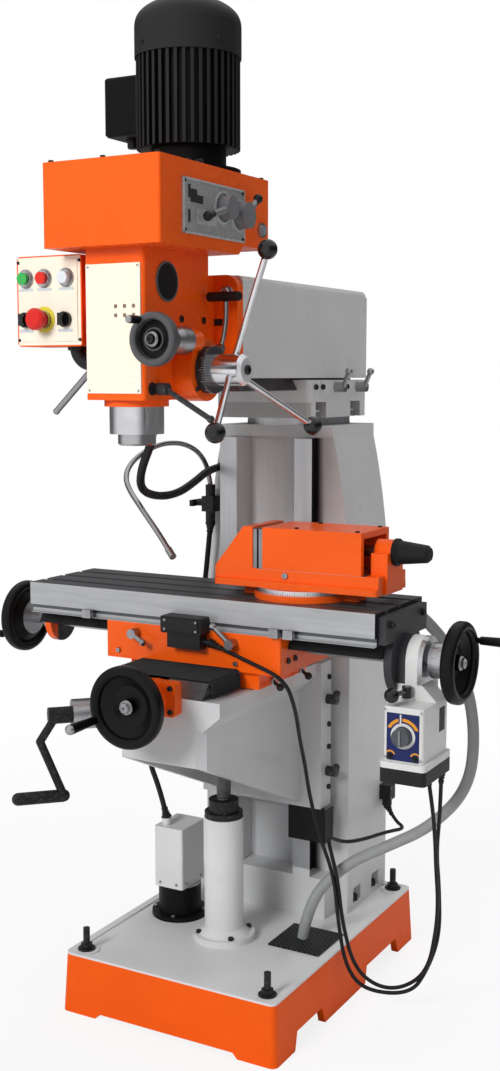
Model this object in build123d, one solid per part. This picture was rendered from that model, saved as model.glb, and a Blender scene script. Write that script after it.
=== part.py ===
"""Knee-type mill drill: base, column, knee, saddle, table, vise, turret, ram, head and drive.

Frame in millimetres: X to the operator's right, Y to the back, Z up; origin on the floor under the base.
"""

import os
from math import acos, cos, pi, radians, sin, tan

from build123d import *

# Fits: radial running clearance, clearance of sliding faces, and of loose passages
RUN = 0.05
SLIDE = 0.4
LOOSE = 3.0

# Base casting
BASE_W = 504.0
BASE_D = 690.0
BASE_H = 126.0
BASE_DRAFT = 6.0
BASE_WALL = 16.0
BASE_TOP = 22.0
BASE_CORNER = 14.0
TRAY_DEPTH = 4.0
TRAY_RIM = 16.0
FOOT_FRONT = 84.0
FRONT_ARCH_H = 11.0
SIDE_ARCH_H = 36.0
SIDE_ARCHES = ((-262.0, -128.0), (70.0, 252.0))
BOLT_INSET = 32.0
BOLT_R = 7.0
BOLT_H = 46.0
BOLT_PAD_R = 26.0

# Column
COLUMN_FOOT_INSET = 71.0
COLUMN_HALF_TOP = 133.0
COLUMN_FRONT = 128.0
COLUMN_REAR = 338.0
COLUMN_BEND_Z = 760.0
COLUMN_TOP_Z = 1205.0
COLUMN_CAP_H = 26.0
COLUMN_WALL = 20.0
COLUMN_CAP_PROUD = 6.0
PEDESTAL_HALF = 150.0
PEDESTAL_TOP_Z = 212.0
BOLT_POCKET = (40.0, 34.0, 16.0)

# Vertical way on the column's front: two rails with a channel between them
WAY_FRONT = 75.0
WAY_HALF = 113.0
WAY_DEPTH = 30.0
WAY_UNDERCUT = 18.0
WAY_TOP_Z = COLUMN_TOP_Z - 27.0
CHANNEL_HALF = 71.0
CHANNEL_DEPTH = 66.0

# Elevating post, nut and screw
POST_Y = -106.0
POST_R = 41.5
POST_BORE = 32.0
POST_TOP_Z = 388.0
POST_FLANGE_R = 66.0
POST_FLANGE_H = 14.0
NUT_H = 38.0
LIFT_SCREW_R = 15.0
LIFT_SCREW_LOW_Z = 232.0
LIFT_JOURNAL_R = 10.0
BEVEL_Z = 630.0
BEVEL_GEAR_R = 34.0
BEVEL_GAP = 0.4
CRANK_SHAFT_R = 12.0

# Coolant pump
PUMP_INSET = 101.0
PUMP_Y = -42.0
PUMP_FLANGE_R = 62.0
PUMP_R = 47.0
PUMP_FLANGE_H = 10.0
PUMP_BODY_H = 62.0
PUMP_COVER = (72.0, 95.0, 136.0)

# Drain screen in the tray
SCREEN_INSET = 30.0
SCREEN_W = 118.0
SCREEN_Y = (-100.0, 20.0)
SCREEN_H = 4.0

# Knee
KNEE_HALF = 98.0
KNEE_FRONT = -353.0
KNEE_FRONT_LOW_Z = 568.0
KNEE_REAR_LOW_Z = 378.0
KNEE_TOP_Z = 700.0
KNEE_WALL = 18.0
KNEE_CHAMFER = 16.0
KNEE_CEILING_Z = 655.0
KNEE_FLARE_HALF = 136.0
KNEE_FLARE_Z = (640.0, 672.0)
KNEE_FLANGE_HALF = 148.0
KNEE_FLANGE_T = 19.0
CROSS_WAY_HALF = 112.0
CROSS_WAY_UNDERCUT = 17.0
CROSS_WAY_H = 36.0
COVER_SIDE = 6.0
COVER_SKIRT = 30.0
COVER_T = 3.0
CROSS_TRENCH_HALF = 24.0
CROSS_TRENCH_LOW_Z = 682.0
WIPER_H = 75.0
KNEE_LOCKS_Z = (617.0, 457.0)
WIPER_X = (70.0, 160.0)

# Elevating crank, on an axis turned from the knee's front towards its left
CRANK_TURN = 45.0
CRANK_BEARING_R = 31.0
CRANK_BEARING_END = 318.0
CRANK_HUB_R = 17.0
CRANK_HUB_END = 366.0
CRANK_ARM_R = 8.5
CRANK_BEND = (34.0, 52.0)
CRANK_REACH = (-12.0, 168.0)
CRANK_GRIP_R = 13.0
CRANK_GRIP_L = 92.0

# Cross screw and its handwheel
CROSS_SCREW_R = 12.0
CROSS_SCREW_Z = 701.0
CROSS_SCREW_END = 20.0
CROSS_BEARING_T = 24.0
CROSS_BEARING_HALF = 52.0
CROSS_DIAL_R = 30.0
CROSS_WHEEL_Y = -440.0

# Handwheels
WHEEL_R = 79.0
WHEEL_RIM = 21.0
WHEEL_RIM_W = 27.0
WHEEL_HUB_R = 15.0
WHEEL_HUB_L = 26.0
WHEEL_BOSS_R = 38.0
WHEEL_WEB_T = 8.0
WHEEL_DISH = 8.0
WHEEL_GRIP_R = 10.0
WHEEL_GRIP_L = 71.0

# Saddle
SADDLE_HALF = 203.0
SADDLE_FRONT = -237.0
SADDLE_REAR = -10.0
SADDLE_JAW_HALF = 150.0
SADDLE_JAW_DROP = 34.0
CROSS_NUT_Y = (-150.0, -100.0)
CROSS_NUT_HALF = 20.0
CROSS_NUT_LOW_Z = 686.0

# Table
TABLE_L = 800.0
TABLE_FRONT = -237.0
TABLE_D = 230.0
TABLE_TOP_Z = 876.0
TABLE_H = 64.0
TABLE_WAY_HALF = 85.0
TABLE_WAY_UNDERCUT = 15.0
TABLE_WAY_H = 27.0
TABLE_SCREW_R = 14.0
TABLE_SCREW_Z = 776.0
SLOT_W = 14.0
SLOT_LIP = 12.0
SLOT_T_W = 24.0
SLOT_T_H = 10.0
SLOT_PITCH = 63.0
STOP_GROOVE = (9.0, 8.0)
STOP_GROOVE_Z = 821.0
STOPS_X = (-246.0, 193.0, 224.0)
STOP_SIZE = (20.0, 12.0, 17.0)
BRACKET_T = 16.0
BRACKET_R_RIGHT = 75.0
BRACKET_R_LEFT = 46.0
LEFT_WHEEL_OUT = 82.0
RIGHT_WHEEL_OUT = 102.0
SCREW_DIAL_R = 34.0
SCREW_DIAL_L = 30.0
LEFT_DIAL_R = 24.0

# Power feed unit on the table's right end
FEED_RING_R = 46.0
FEED_RING_L = 50.0
FEED_CASE_OUT = (16.0, 96.0)
FEED_CASE_Y = (-232.0, -106.0)
FEED_CASE_Z = (590.0, 706.0)
FEED_CAP_H = 28.0
FEED_CAP_PROUD = 6.0
FEED_LIP_H = 12.0
FEED_LEVER_OUT = 41.0
FEED_LEVER_Y = -180.0
FEED_LEVER_Z = 722.0
FEED_KNOB_Z = 652.0
FEED_KNOB_R = 17.0

# Vise on the table
VISE_X = 192.0
VISE_Y = -112.0
VISE_BASE_R = 100.0
VISE_RING_R = 95.0
VISE_RING_H = 9.0
VISE_BASE_H = 22.0
VISE_EAR = (250.0, 44.0, 13.0)
VISE_LEFT = -168.0
VISE_RIGHT = 188.0
VISE_HALF = 66.0
VISE_BED_H = 36.0
VISE_FLANGE = (8.0, 13.0)
VISE_TOP_H = 118.0
VISE_FIXED = (-104.0, -74.0)
VISE_PLATE_T = 9.0
VISE_JAW = (-70.0, 152.0)
VISE_NOSE_L = 60.0
VISE_JAW_WALL = 12.0
VISE_KEY_HALF = 15.0
VISE_KEY_H = 14.0
VISE_NUT_R = 24.0
VISE_NUT_X = (160.0, 194.0)
VISE_SCREW_R = 11.0
VISE_SCREW_H = 78.0
VISE_BOOT_R = (26.0, 17.0)
VISE_BOOT_L = 72.0

# Turret saddle and ram
TURRET_Y = 234.0
TURRET_R = 115.0
TURRET_H = 17.0
SEAT_HALF = 115.0
SEAT_FRONT = 62.0
SEAT_REAR = 350.0
SEAT_POCKET = (26.0, 26.0, 34.0)
SEAT_TOP_Z = COLUMN_TOP_Z + 98.0
RAM_HALF = 108.0
RAM_FRONT = -213.0
RAM_REAR = 356.0
RAM_LOW_Z = COLUMN_TOP_Z + 102.0
RAM_NOSE_T = 22.0
RAM_TOP_Z = COLUMN_TOP_Z + 297.0
RAM_ROUND = 14.0
RAM_WAY_HALF = 84.0
RAM_WAY_UNDERCUT = 14.0
RAM_WAY_H = 26.0
RAM_LOCK_Y = (185.0, 298.0)
RAM_LOCK_END = (46.0, 30.0, 34.0)
RAM_WAY_START = 30.0

# Head
HEAD_HALF = 64.0
HEAD_FRONT = -488.0
HEAD_REAR = -262.0
HEAD_LOW_Z = COLUMN_TOP_Z + 63.0
HEAD_ROUND = 9.0
HEAD_COLLAR_R = 59.0
HEAD_COLLAR_H = 12.0
NECK_HALF = 56.0
NECK_STEPS = (40.0, 36.0)
TILT_Z = COLUMN_TOP_Z + 193.0
SPIGOT_R = 55.0
SPIGOT_L = 20.0
TILT_FLANGE_HALF = 108.0
TILT_FLANGE_T = 22.0
TILT_FLANGE_ROUND = 26.0
BULGE_R = 57.0
BULGE_X = 104.0
WORM_X = 100.0
WORM_Z = COLUMN_TOP_Z + 169.0
WORM_BOSS_R = 20.0
WORM_BOSS_FRONT = -412.0
WORM_BOSS_REAR = -375.0
WORM_R = 10.0

# Spindle and quill
SPINDLE_Y = -418.0
QUILL_R = 50.0
QUILL_LOW_Z = COLUMN_TOP_Z + 1.0
QUILL_TOP_Z = COLUMN_TOP_Z + 285.0
QUILL_TRAVEL = 120.0
NOSE_R = 35.0
NOSE_H = 21.0
COLLET_R = 12.05
COLLET_L = 85.0
SPINDLE_R = 21.0
SPLINE_R = 14.0

# Rack, pinion and feed hub
MODULE = 2.5
PRESSURE = 20.0
BACKLASH = 0.25
PINION_TEETH = 24
FEED_Z = COLUMN_TOP_Z + 117.0
RACK_W = 26.0
RACK_SPACES_BELOW = 2
RACK_SPACES_ABOVE = 17
FEED_SHAFT_END = 40.0
FEED_SHAFT_R = 16.0
DIAL_R = 43.0
DIAL_X = (104.5, 122.0)
HUB_R = 29.0
HUB_END_X = 188.0
LEVER_X = 160.0
LEVER_R = 6.0
LEVER_REACH = 212.0
LEVER_LEAN = 70.0
BALL_R = 18.0
LEVER_COUNT = 3

# Fine feed wheel
FINE_WHEEL_R = 47.0
FINE_WHEEL_Y = -500.0
FINE_RIM = 13.0
FINE_RIM_W = 22.0
FINE_HUB_R = 14.0
FINE_GRIP_R = 7.0
FINE_GRIP_L = 26.0
FINE_GRIP_TURN = 125.0
FINE_DIAL_R = 25.0
FINE_DIAL_L = 46.0

# Small levers on the head: places in (y, z)
CLUTCH = (-305.0, COLUMN_TOP_Z + 157.0)
CLUTCH_ARM = (20.0, 96.0)
CLUTCH_GRIP_R = 9.0
CLUTCH_GRIP_L = 70.0
QUILL_LOCK = (-430.0, COLUMN_TOP_Z + 125.0)
QUILL_CLAMP = (-445.0, COLUMN_TOP_Z + 83.0)

# Gearbox and motor
BOX_HALF = 124.0
BOX_FRONT = -527.0
BOX_REAR = -138.0
BOX_LOW_Z = COLUMN_TOP_Z + 331.0
BOX_TOP_Z = COLUMN_TOP_Z + 480.0
BOX_WALL = 12.0
BOX_ROUND = 6.0
BOX_FLOOR_Z = COLUMN_TOP_Z + 360.0
BOX_STEP_Y = -240.0
BOX_STEP_Z = COLUMN_TOP_Z + 348.0
MOTOR_Y = -233.0
MOTOR_PINION_TEETH = 20
COUNTER_TEETH = 44
SPINDLE_TEETH = 40
GEAR_Z = (COLUMN_TOP_Z + 391.0, COLUMN_TOP_Z + 411.0)
GEAR_SHAFT_R = 12.0
SLEEVE_R = 22.0
SPLINE_TOP_Z = COLUMN_TOP_Z + 463.0
MOTOR_FLANGE = (200.0, 15.0)
MOTOR_NECK_R = 72.0
MOTOR_R = 91.0
MOTOR_FIN_R = 99.0
MOTOR_FINS = 40
MOTOR_LOW_Z = COLUMN_TOP_Z + 533.0
MOTOR_TOP_Z = COLUMN_TOP_Z + 707.0
ROTOR_R = 52.0
ROTOR_Z = (COLUMN_TOP_Z + 565.0, COLUMN_TOP_Z + 685.0)
COWL_R = 101.5
COWL_H = 104.0
COWL_DOME = 48.0
COWL_TOP_R = 40.0
TERMINAL = (60.0, 92.0, 112.0)

# Plates and speed levers on the head
PLATE_T = 2.5
FRONT_PLATE = (116.0, 228.0)
FRONT_PLATE_Z = COLUMN_TOP_Z + 189.0
BADGE_R = 36.0
BADGE_Y = -414.0
BADGE_Z = COLUMN_TOP_Z + 274.0
SPEED_PLATE_Y = (-457.0, -241.0)
SPEED_PLATE_Z = (COLUMN_TOP_Z + 353.0, COLUMN_TOP_Z + 449.0)
SPEED_A = (-322.0, COLUMN_TOP_Z + 409.0)
SPEED_B = (-262.0, COLUMN_TOP_Z + 401.0)
SPEED_HUBS_R = (21.0, 24.0)
SPEED_ARMS = ((-84.0, -24.0), (38.0, 34.0))
OIL_SIGHT = (-172.0, COLUMN_TOP_Z + 383.0)
OIL_SIGHT_R = 10.0

# Control box beside the head
PANEL_X = (-230.0, -82.0)
PANEL_Z = (COLUMN_TOP_Z + 160.0, COLUMN_TOP_Z + 325.0)
PANEL_FRONT = -470.0
PANEL_DEPTH = 84.0
PANEL_PLATE_T = 2.0
BUTTON_R = 11.0
BUTTON_PROUD = 14.0
BUTTON_TRAVEL = 4.0
COLLAR_H = 8.0
START_X = -207.0
STOP_X = -165.0
LAMP_X = -115.0
SELECTORS_X = (-208.0, -118.0)
ESTOP_X = -166.0
BUTTON_ROW_Z = COLUMN_TOP_Z + 284.0
SWITCH_ROW_Z = COLUMN_TOP_Z + 209.0
ESTOP_R = 20.0

# Coolant valve on the column's front and the outlet pipe from it
VALVE = (-150.0, 95.0, 1010.0)
GOOSENECK = [(-152.0, 83.0, 1115.0), (-157.0, 51.0, 1148.0), (-171.0, 11.0, 1166.0),
             (-193.0, -31.0, 1167.0), (-213.0, -70.0, 1152.0), (-218.0, -112.0, 1132.0),
             (-206.0, -153.0, 1113.0), (-183.0, -189.0, 1095.0), (-151.0, -218.0, 1075.0),
             (-116.0, -241.0, 1054.0), (-81.0, -261.0, 1030.0), (-46.0, -279.0, 1005.0),
             (-12.0, -297.0, 978.0)]

# Places: gland on the column's side, switch on the saddle's front, and how far the wheels' grips are turned
BASE_EDGE = BASE_W / 2
GLAND = (BASE_EDGE - COLUMN_FOOT_INSET + 14.0, 312.0, 322.0)
LIMIT_SWITCH = (-2.0, 806.0)
TABLE_LOCKS_X = (-128.0, 100.0)
TABLE_LOCK_DROP = 20.0
TABLE_LOCK_ARMS = ((30.0, -14.0), (-34.0, 34.0))
CROSS_GRIP_TURN = 205.0
LEFT_GRIP_TURN = 240.0
RIGHT_GRIP_TURN = 120.0

# Flexible lines: outside diameters and the points they pass
CORD_D = 8.0
DRAIN_HOSE_D = 24.0
CONDUIT_D = 17.0
PUMP_HOSE_D = 12.0
GOOSENECK_D = 11.0
BEND_SHARE = 0.45
LIMIT_CORD = [(52.6, -250.0, 791.0), (139.0, -256.0, 765.0), (217.0, -243.0, 734.0),
              (214.0, -192.0, 662.0), (194.0, -137.0, 593.0), (180.0, -84.0, 522.0),
              (169.0, -41.0, 444.0), (172.0, -20.0, 357.0), (203.0, -45.0, 278.0),
              (247.0, -80.0, 209.0), (BASE_EDGE + 27.0, -65.0, 127.0), (BASE_EDGE + 49.0, -25.0, 50.0),
              (365.0, 5.0, 55.0),
              (406.0, -6.0, 134.0), (428.0, -23.0, 220.0), (442.0, -44.0, 306.0),
              (451.0, -74.0, 390.0), (455.0, -108.0, 474.0), (455.0, -124.0, 561.4)]
SUPPLY_CORD = [(440.0, -150.0, 561.4), (439.0, -141.0, 480.0), (436.0, -110.0, 405.0),
               (430.0, -78.0, 329.0), (418.0, -49.0, 253.0), (401.0, -24.0, 177.0),
               (372.0, -7.0, 103.0), (BASE_EDGE + 67.0, -24.0, 57.0), (BASE_EDGE + 37.0, -61.0, 123.0),
               (BASE_EDGE + 11.0, -80.0, 198.0), (GLAND[0] + 33.0, -41.0, 256.0),
               (GLAND[0] + 12.0, 37.0, 264.0), (GLAND[0] + 1.0, 118.0, 259.0), (GLAND[0], 199.0, 248.0),
               (GLAND[0] + 1.0, 280.0, 252.0),
               (GLAND[0], GLAND[1], GLAND[2] - 0.5)]
DRAIN_HOSE = [(384.0, -6.6, 846.0), (413.0, 56.0, 797.0), (457.0, 47.0, 702.0), (486.0, 35.0, 601.0),
              (469.0, 25.0, 499.0), (408.0, 12.0, 416.0), (320.0, -0.0, 361.0), (227.0, -5.0, 312.0),
              (170.0, -31.0, 229.0), (155.0, -40.0, 126.6)]
CONDUIT = [(-40.0, -290.0, 1267.6), (-48.0, -289.0, 1193.0), (-83.0, -284.0, 1128.0),
           (-115.0, -237.0, 1083.0), (-121.0, -165.0, 1064.0), (-120.0, -90.0, 1065.0),
           (-123.0, -18.0, 1084.0), (-126.0, 53.0, 1109.0), (-127.0, 127.6, 1112.0)]
PUMP_OUTLET_X = PUMP_INSET - BASE_EDGE - 16.0
PUMP_HOSE = [(PUMP_OUTLET_X, -69.5, 346.5), (PUMP_OUTLET_X - 19.0, -66.0, 404.0), (-228.0, -48.0, 462.0),
             (-250.0, -5.0, 512.0), (-236.0, 50.0, 560.0), (-212.0, 82.0, 615.0),
             (-190.0, 92.0, 690.0), (-175.0, 94.0, 770.0), (-163.0, 94.0, 860.0), (-150.0, 95.0, 983.5)]

# Sizes that follow from those above
TRAY_Z = BASE_H - TRAY_DEPTH
NUT_TOP_Z = POST_TOP_Z + NUT_H
CROSS_WAY_Z = KNEE_TOP_Z + CROSS_WAY_H
TABLE_LOW_Z = TABLE_TOP_Z - TABLE_H
TABLE_MID = TABLE_FRONT + TABLE_D / 2
TABLE_HALF = TABLE_L / 2
LEFT_WHEEL_X = -TABLE_HALF - LEFT_WHEEL_OUT
RIGHT_WHEEL_X = TABLE_HALF + RIGHT_WHEEL_OUT
FEED_CASE_X = (TABLE_HALF + FEED_CASE_OUT[0], TABLE_HALF + FEED_CASE_OUT[1])
FEED_LEVER = (TABLE_HALF + FEED_LEVER_OUT, FEED_LEVER_Y)
COLUMN_HALF_FOOT = BASE_W / 2 - COLUMN_FOOT_INSET
SCREEN_X = (BASE_W / 2 - SCREEN_INSET - SCREEN_W, BASE_W / 2 - SCREEN_INSET)
PUMP_X = PUMP_INSET - BASE_W / 2
SEAT_LOW_Z = COLUMN_TOP_Z + TURRET_H
PINION_R = MODULE * PINION_TEETH / 2
RACK_LINE = SPINDLE_Y + QUILL_R - 3.0
FEED_Y = RACK_LINE + PINION_R
COUNTER_Y = MOTOR_Y - MODULE * (MOTOR_PINION_TEETH + COUNTER_TEETH) / 2
VISE_Z = TABLE_TOP_Z + VISE_BASE_H
VISE_BED_Z = VISE_Z + VISE_BED_H
VISE_TOP_Z = VISE_Z + VISE_TOP_H
VISE_SCREW_Z = VISE_Z + VISE_SCREW_H
HEAD_TOP_Z = BOX_LOW_Z
COWL_Z = MOTOR_TOP_Z - 6.0


def block(x, y, z):
    """Box between the ends given along each axis."""
    size = Box(x[1] - x[0], y[1] - y[0], z[1] - z[0])
    return Pos((x[0] + x[1]) / 2, (y[0] + y[1]) / 2, (z[0] + z[1]) / 2) * size


def rod_x(radius, x, y, z):
    """Round bar along X between the two ends in x."""
    bar = Rot(0, 90, 0) * Cylinder(radius, x[1] - x[0])
    return Pos((x[0] + x[1]) / 2, y, z) * bar


def rod_y(radius, x, y, z):
    """Round bar along Y between the two ends in y."""
    bar = Rot(90, 0, 0) * Cylinder(radius, y[1] - y[0])
    return Pos(x, (y[0] + y[1]) / 2, z) * bar


def rod_z(radius, x, y, z):
    """Round bar along Z between the two ends in z."""
    return Pos(x, y, (z[0] + z[1]) / 2) * Cylinder(radius, z[1] - z[0])


def bar_between(radius, start, end):
    """Round bar from one point to another."""
    run = Vector(*end) - Vector(*start)
    bar = Cylinder(radius, run.length, align=(Align.CENTER, Align.CENTER, Align.MIN))
    return Plane(origin=start, z_dir=run).location * bar


def ball(radius, centre, along=(0, 0, 1)):
    """Ball whose poles lie along a direction."""
    return Plane(origin=centre, z_dir=along).location * Sphere(radius)


def along_x(outline, x):
    """Prism along X over an outline of (y, z) points."""
    return Pos(x[0], 0, 0) * extrude(Plane.YZ * Polygon(*outline, align=None), x[1] - x[0], dir=(1, 0, 0))


def along_y(outline, y):
    """Prism along Y over an outline of (x, z) points."""
    return Pos(0, y[0], 0) * extrude(Plane.XZ * Polygon(*outline, align=None), y[1] - y[0], dir=(0, 1, 0))


def along_z(outline, z):
    """Prism along Z over an outline of (x, y) points."""
    return Pos(0, 0, z[0]) * extrude(Polygon(*outline, align=None), z[1] - z[0], dir=(0, 0, 1))


def mirrored(outline):
    """Closes a half outline given on the +X side, from its first point to its last."""
    return list(outline) + [(-x, other) for x, other in reversed(outline)]


def upright_edges(part):
    return part.edges().filter_by(Axis.Z)


def group(*solids):
    """Several separate solids of one node."""
    return Compound(children=[solid for piece in solids for solid in piece.solids()])


def base_casting():
    outer = loft([RectangleRounded(BASE_W, BASE_D, BASE_CORNER),
                  Pos(0, 0, BASE_H) * RectangleRounded(BASE_W - 2 * BASE_DRAFT, BASE_D - 2 * BASE_DRAFT,
                                                       BASE_CORNER)])
    inside = block((BASE_WALL - BASE_W / 2, BASE_W / 2 - BASE_WALL),
                   (BASE_WALL - BASE_D / 2, BASE_D / 2 - BASE_WALL), (0, BASE_H - BASE_TOP))
    rim = TRAY_RIM + BASE_DRAFT
    tray = block((rim - BASE_W / 2, BASE_W / 2 - rim), (rim - BASE_D / 2, BASE_D / 2 - rim),
                 (TRAY_Z, BASE_H))
    seat = block((-COLUMN_HALF_FOOT, COLUMN_HALF_FOOT), (COLUMN_FRONT, COLUMN_REAR), (TRAY_Z, BASE_H))
    casting = outer - inside - tray - seat
    arch = BASE_W / 2 - FOOT_FRONT
    front_arch = [(arch, 0), (arch - FRONT_ARCH_H, FRONT_ARCH_H)]
    casting -= along_y(mirrored(front_arch), (-BASE_D, BASE_D))
    for low, high in SIDE_ARCHES:
        lean = SIDE_ARCH_H / 3
        side_arch = [(low, 0), (low + lean, SIDE_ARCH_H), (high - lean, SIDE_ARCH_H), (high, 0)]
        casting -= along_x(side_arch, (-BASE_W, BASE_W))
    for x, y in bolt_places():
        casting += rod_z(BOLT_PAD_R, x, y, (TRAY_Z - 1, BASE_H))
        casting -= rod_z(BOLT_R + RUN, x, y, (0, BASE_H))
    casting -= rod_z(LIFT_SCREW_R + LOOSE, 0, POST_Y, (0, BASE_H))
    rib = block((-BASE_WALL / 2, BASE_WALL / 2), (-BASE_D / 6, BASE_D / 6), (0, BASE_H - BASE_TOP))
    return casting + (rib - rod_z(LIFT_SCREW_R + LOOSE, 0, POST_Y, (0, BASE_H)))


def bolt_places():
    x = BASE_W / 2 - BOLT_INSET - BASE_DRAFT
    y = BASE_D / 2 - BOLT_INSET - BASE_DRAFT
    return [(sx * x, sy * y) for sx in (-1, 1) for sy in (-1, 1)]


def levelling_bolts():
    """Four jacking bolts with washers and lock nuts, through the base's corners."""
    bolts = []
    for x, y in bolt_places():
        bolt = rod_z(BOLT_R, x, y, (BASE_WALL, BASE_H + BOLT_H))
        bolt += rod_z(2.6 * BOLT_R, x, y, (BASE_H, BASE_H + 3))
        nut = Pos(x, y, BASE_H + 3) * extrude(RegularPolygon(1.9 * BOLT_R, 6), 1.3 * BOLT_R)
        bolts.append(bolt + nut)
    return group(*bolts)


def way_outline(spare):
    """Half outline of the column's dovetail way, grown by spare for what slides on it."""
    inner = WAY_HALF - WAY_UNDERCUT + spare
    return [(WAY_HALF + spare, WAY_FRONT), (inner, WAY_FRONT + WAY_DEPTH)]


def column_casting():
    low = TRAY_Z
    side = Line((COLUMN_HALF_FOOT, low), (COLUMN_HALF_FOOT, COLUMN_BEND_Z))
    middle = (COLUMN_HALF_FOOT - 10.0, (COLUMN_BEND_Z + COLUMN_TOP_Z) / 2)
    curve = ThreePointArc((COLUMN_HALF_FOOT, COLUMN_BEND_Z), middle, (COLUMN_HALF_TOP, COLUMN_TOP_Z))
    top = Line((COLUMN_HALF_TOP, COLUMN_TOP_Z), (0, COLUMN_TOP_Z))
    half = [side, curve, top]
    half += [Line((0, COLUMN_TOP_Z), (0, low)), Line((0, low), (COLUMN_HALF_FOOT, low))]
    right = extrude(Plane.XZ * make_face(half), COLUMN_REAR - COLUMN_FRONT)
    right = Pos(0, COLUMN_REAR, 0) * right
    body = right + mirror(right, Plane.YZ)
    rails = way_outline(0) + [(WAY_HALF - WAY_UNDERCUT, COLUMN_FRONT + 1)]
    body += along_z(mirrored(rails), (low, WAY_TOP_Z))
    body += block((-PEDESTAL_HALF, PEDESTAL_HALF), (WAY_FRONT, COLUMN_FRONT + 1), (low, PEDESTAL_TOP_Z))
    cap_half = COLUMN_HALF_TOP + COLUMN_CAP_PROUD
    body += block((-cap_half, cap_half), (COLUMN_FRONT - COLUMN_CAP_PROUD, COLUMN_REAR),
                  (COLUMN_TOP_Z - COLUMN_CAP_H, COLUMN_TOP_Z))
    body -= block((-CHANNEL_HALF, CHANNEL_HALF), (WAY_FRONT - 1, WAY_FRONT + CHANNEL_DEPTH),
                  (PEDESTAL_TOP_Z, WAY_TOP_Z))
    hollow_y = (WAY_FRONT + CHANNEL_DEPTH + COLUMN_WALL, COLUMN_REAR - COLUMN_WALL)
    for half, top in ((COLUMN_HALF_FOOT, COLUMN_BEND_Z), (COLUMN_HALF_TOP, COLUMN_TOP_Z - 2 * COLUMN_CAP_H)):
        inner = half - COLUMN_WALL - 4
        body -= block((-inner, inner), hollow_y, (low, top))
    wide, tall, deep = BOLT_POCKET
    for sign in (-1, 1):
        for y in (COLUMN_FRONT + 50, COLUMN_REAR - 60):
            x = sorted((sign * COLUMN_HALF_FOOT, sign * (COLUMN_HALF_FOOT - deep)))
            body -= block(x, (y - wide / 2, y + wide / 2), (low + 14, low + 14 + tall))
    return body


def elevating_post():
    """Fixed tube on the base with a flanged foot, and the lifting nut on its top."""
    tube = rod_z(POST_R, 0, POST_Y, (TRAY_Z, POST_TOP_Z))
    tube += rod_z(POST_FLANGE_R, 0, POST_Y, (TRAY_Z, TRAY_Z + POST_FLANGE_H))
    tube += Pos(0, POST_Y, TRAY_Z + POST_FLANGE_H + 6) * Cone(POST_R + 14, POST_R, 12)
    tube -= rod_z(POST_BORE, 0, POST_Y, (TRAY_Z, POST_TOP_Z))
    nut = rod_z(POST_R - 1, 0, POST_Y, (POST_TOP_Z, POST_TOP_Z + 12))
    nut += rod_z(POST_R - 10, 0, POST_Y, (POST_TOP_Z, NUT_TOP_Z))
    nut -= rod_z(LIFT_SCREW_R + RUN, 0, POST_Y, (POST_TOP_Z, NUT_TOP_Z))
    return group(tube, nut)


def coolant_pump():
    """Flanged pump body in the tray under a sheet-metal cover."""
    body = rod_z(PUMP_FLANGE_R, PUMP_X, PUMP_Y, (TRAY_Z, TRAY_Z + PUMP_FLANGE_H))
    top = TRAY_Z + PUMP_FLANGE_H + PUMP_BODY_H
    body += rod_z(PUMP_R, PUMP_X, PUMP_Y, (TRAY_Z, top))
    wide, deep, tall = PUMP_COVER
    cover = block((PUMP_X - wide / 2, PUMP_X + wide / 2), (PUMP_Y - deep / 2, PUMP_Y + deep / 2),
                  (top, top + tall))
    cover = fillet(upright_edges(cover), 5)
    outlet = Pos(PUMP_X - wide / 2 + 20, PUMP_Y - deep / 2 + 20, top + tall)
    cover += outlet * Cylinder(PUMP_HOSE_D / 2 + 4, 16, align=(Align.CENTER, Align.CENTER, Align.MIN))
    return group(body, cover)


def bend_radius(before, corner, after):
    """Largest bend that leaves the runs on both sides of a corner their share of straight."""
    one = Vector(*before) - Vector(*corner)
    two = Vector(*after) - Vector(*corner)
    half_turn = (pi - radians(one.get_angle(two))) / 2
    return BEND_SHARE * min(one.length, two.length) / tan(half_turn)


def tube(name, diameter, points):
    """Round line through the points with every corner bent; prints its bends and compares its volume."""
    radii = [bend_radius(*points[i - 1:i + 2]) for i in range(1, len(points) - 1)]
    path = FilletPolyline(*points, radius=radii)
    start = Plane(origin=path @ 0, z_dir=path % 0)
    line = sweep(start * Circle(diameter / 2), path=path)
    share = line.volume / (pi * diameter ** 2 / 4 * path.length)
    print(name, "smallest bend", round(min(radii) / diameter, 1), "diameters, volume share", round(share, 4))
    return line


def coolant_valve():
    """Valve with a cross handle on the column's front."""
    x, y, z = VALVE
    valve = block((x - 15, x + 15), (y - 14, COLUMN_FRONT), (z, z + 34))
    valve += rod_z(11, x, y, (z - 26, z + 60))
    valve += rod_x(7, (x - 34, x), y, z + 18)
    return valve + block((x - 42, x - 34), (y - 22, y + 22), (z + 11, z + 25))


def drain_screen():
    return block(SCREEN_X, SCREEN_Y, (TRAY_Z, TRAY_Z + SCREEN_H))


def coolant_fittings():
    """Valve on the column, bent outlet pipe with its nozzle, and the drain screen in the tray."""
    x, y, z = VALVE
    pipe = tube("gooseneck", GOOSENECK_D, [(x, y, z + 60)] + GOOSENECK) - coolant_valve()
    tip = GOOSENECK[-1]
    before = Vector(*GOOSENECK[-2])
    ahead = (Vector(*tip) - before).normalized()
    end = Vector(*tip) + ahead * 24
    nozzle = bar_between(GOOSENECK_D / 2 + 1.5, tip, (end.X, end.Y, end.Z))
    return group(coolant_valve(), pipe, nozzle, drain_screen())


def cable_gland():
    """Gland where the supply cord and the drain hose reach the column's right side."""
    x, y, z = GLAND
    box = block((COLUMN_HALF_FOOT, x + 14), (y - 14, y + 14), (z + 16, z + 50))
    return box + rod_z(11, x, y, (z, z + 16))


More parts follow.
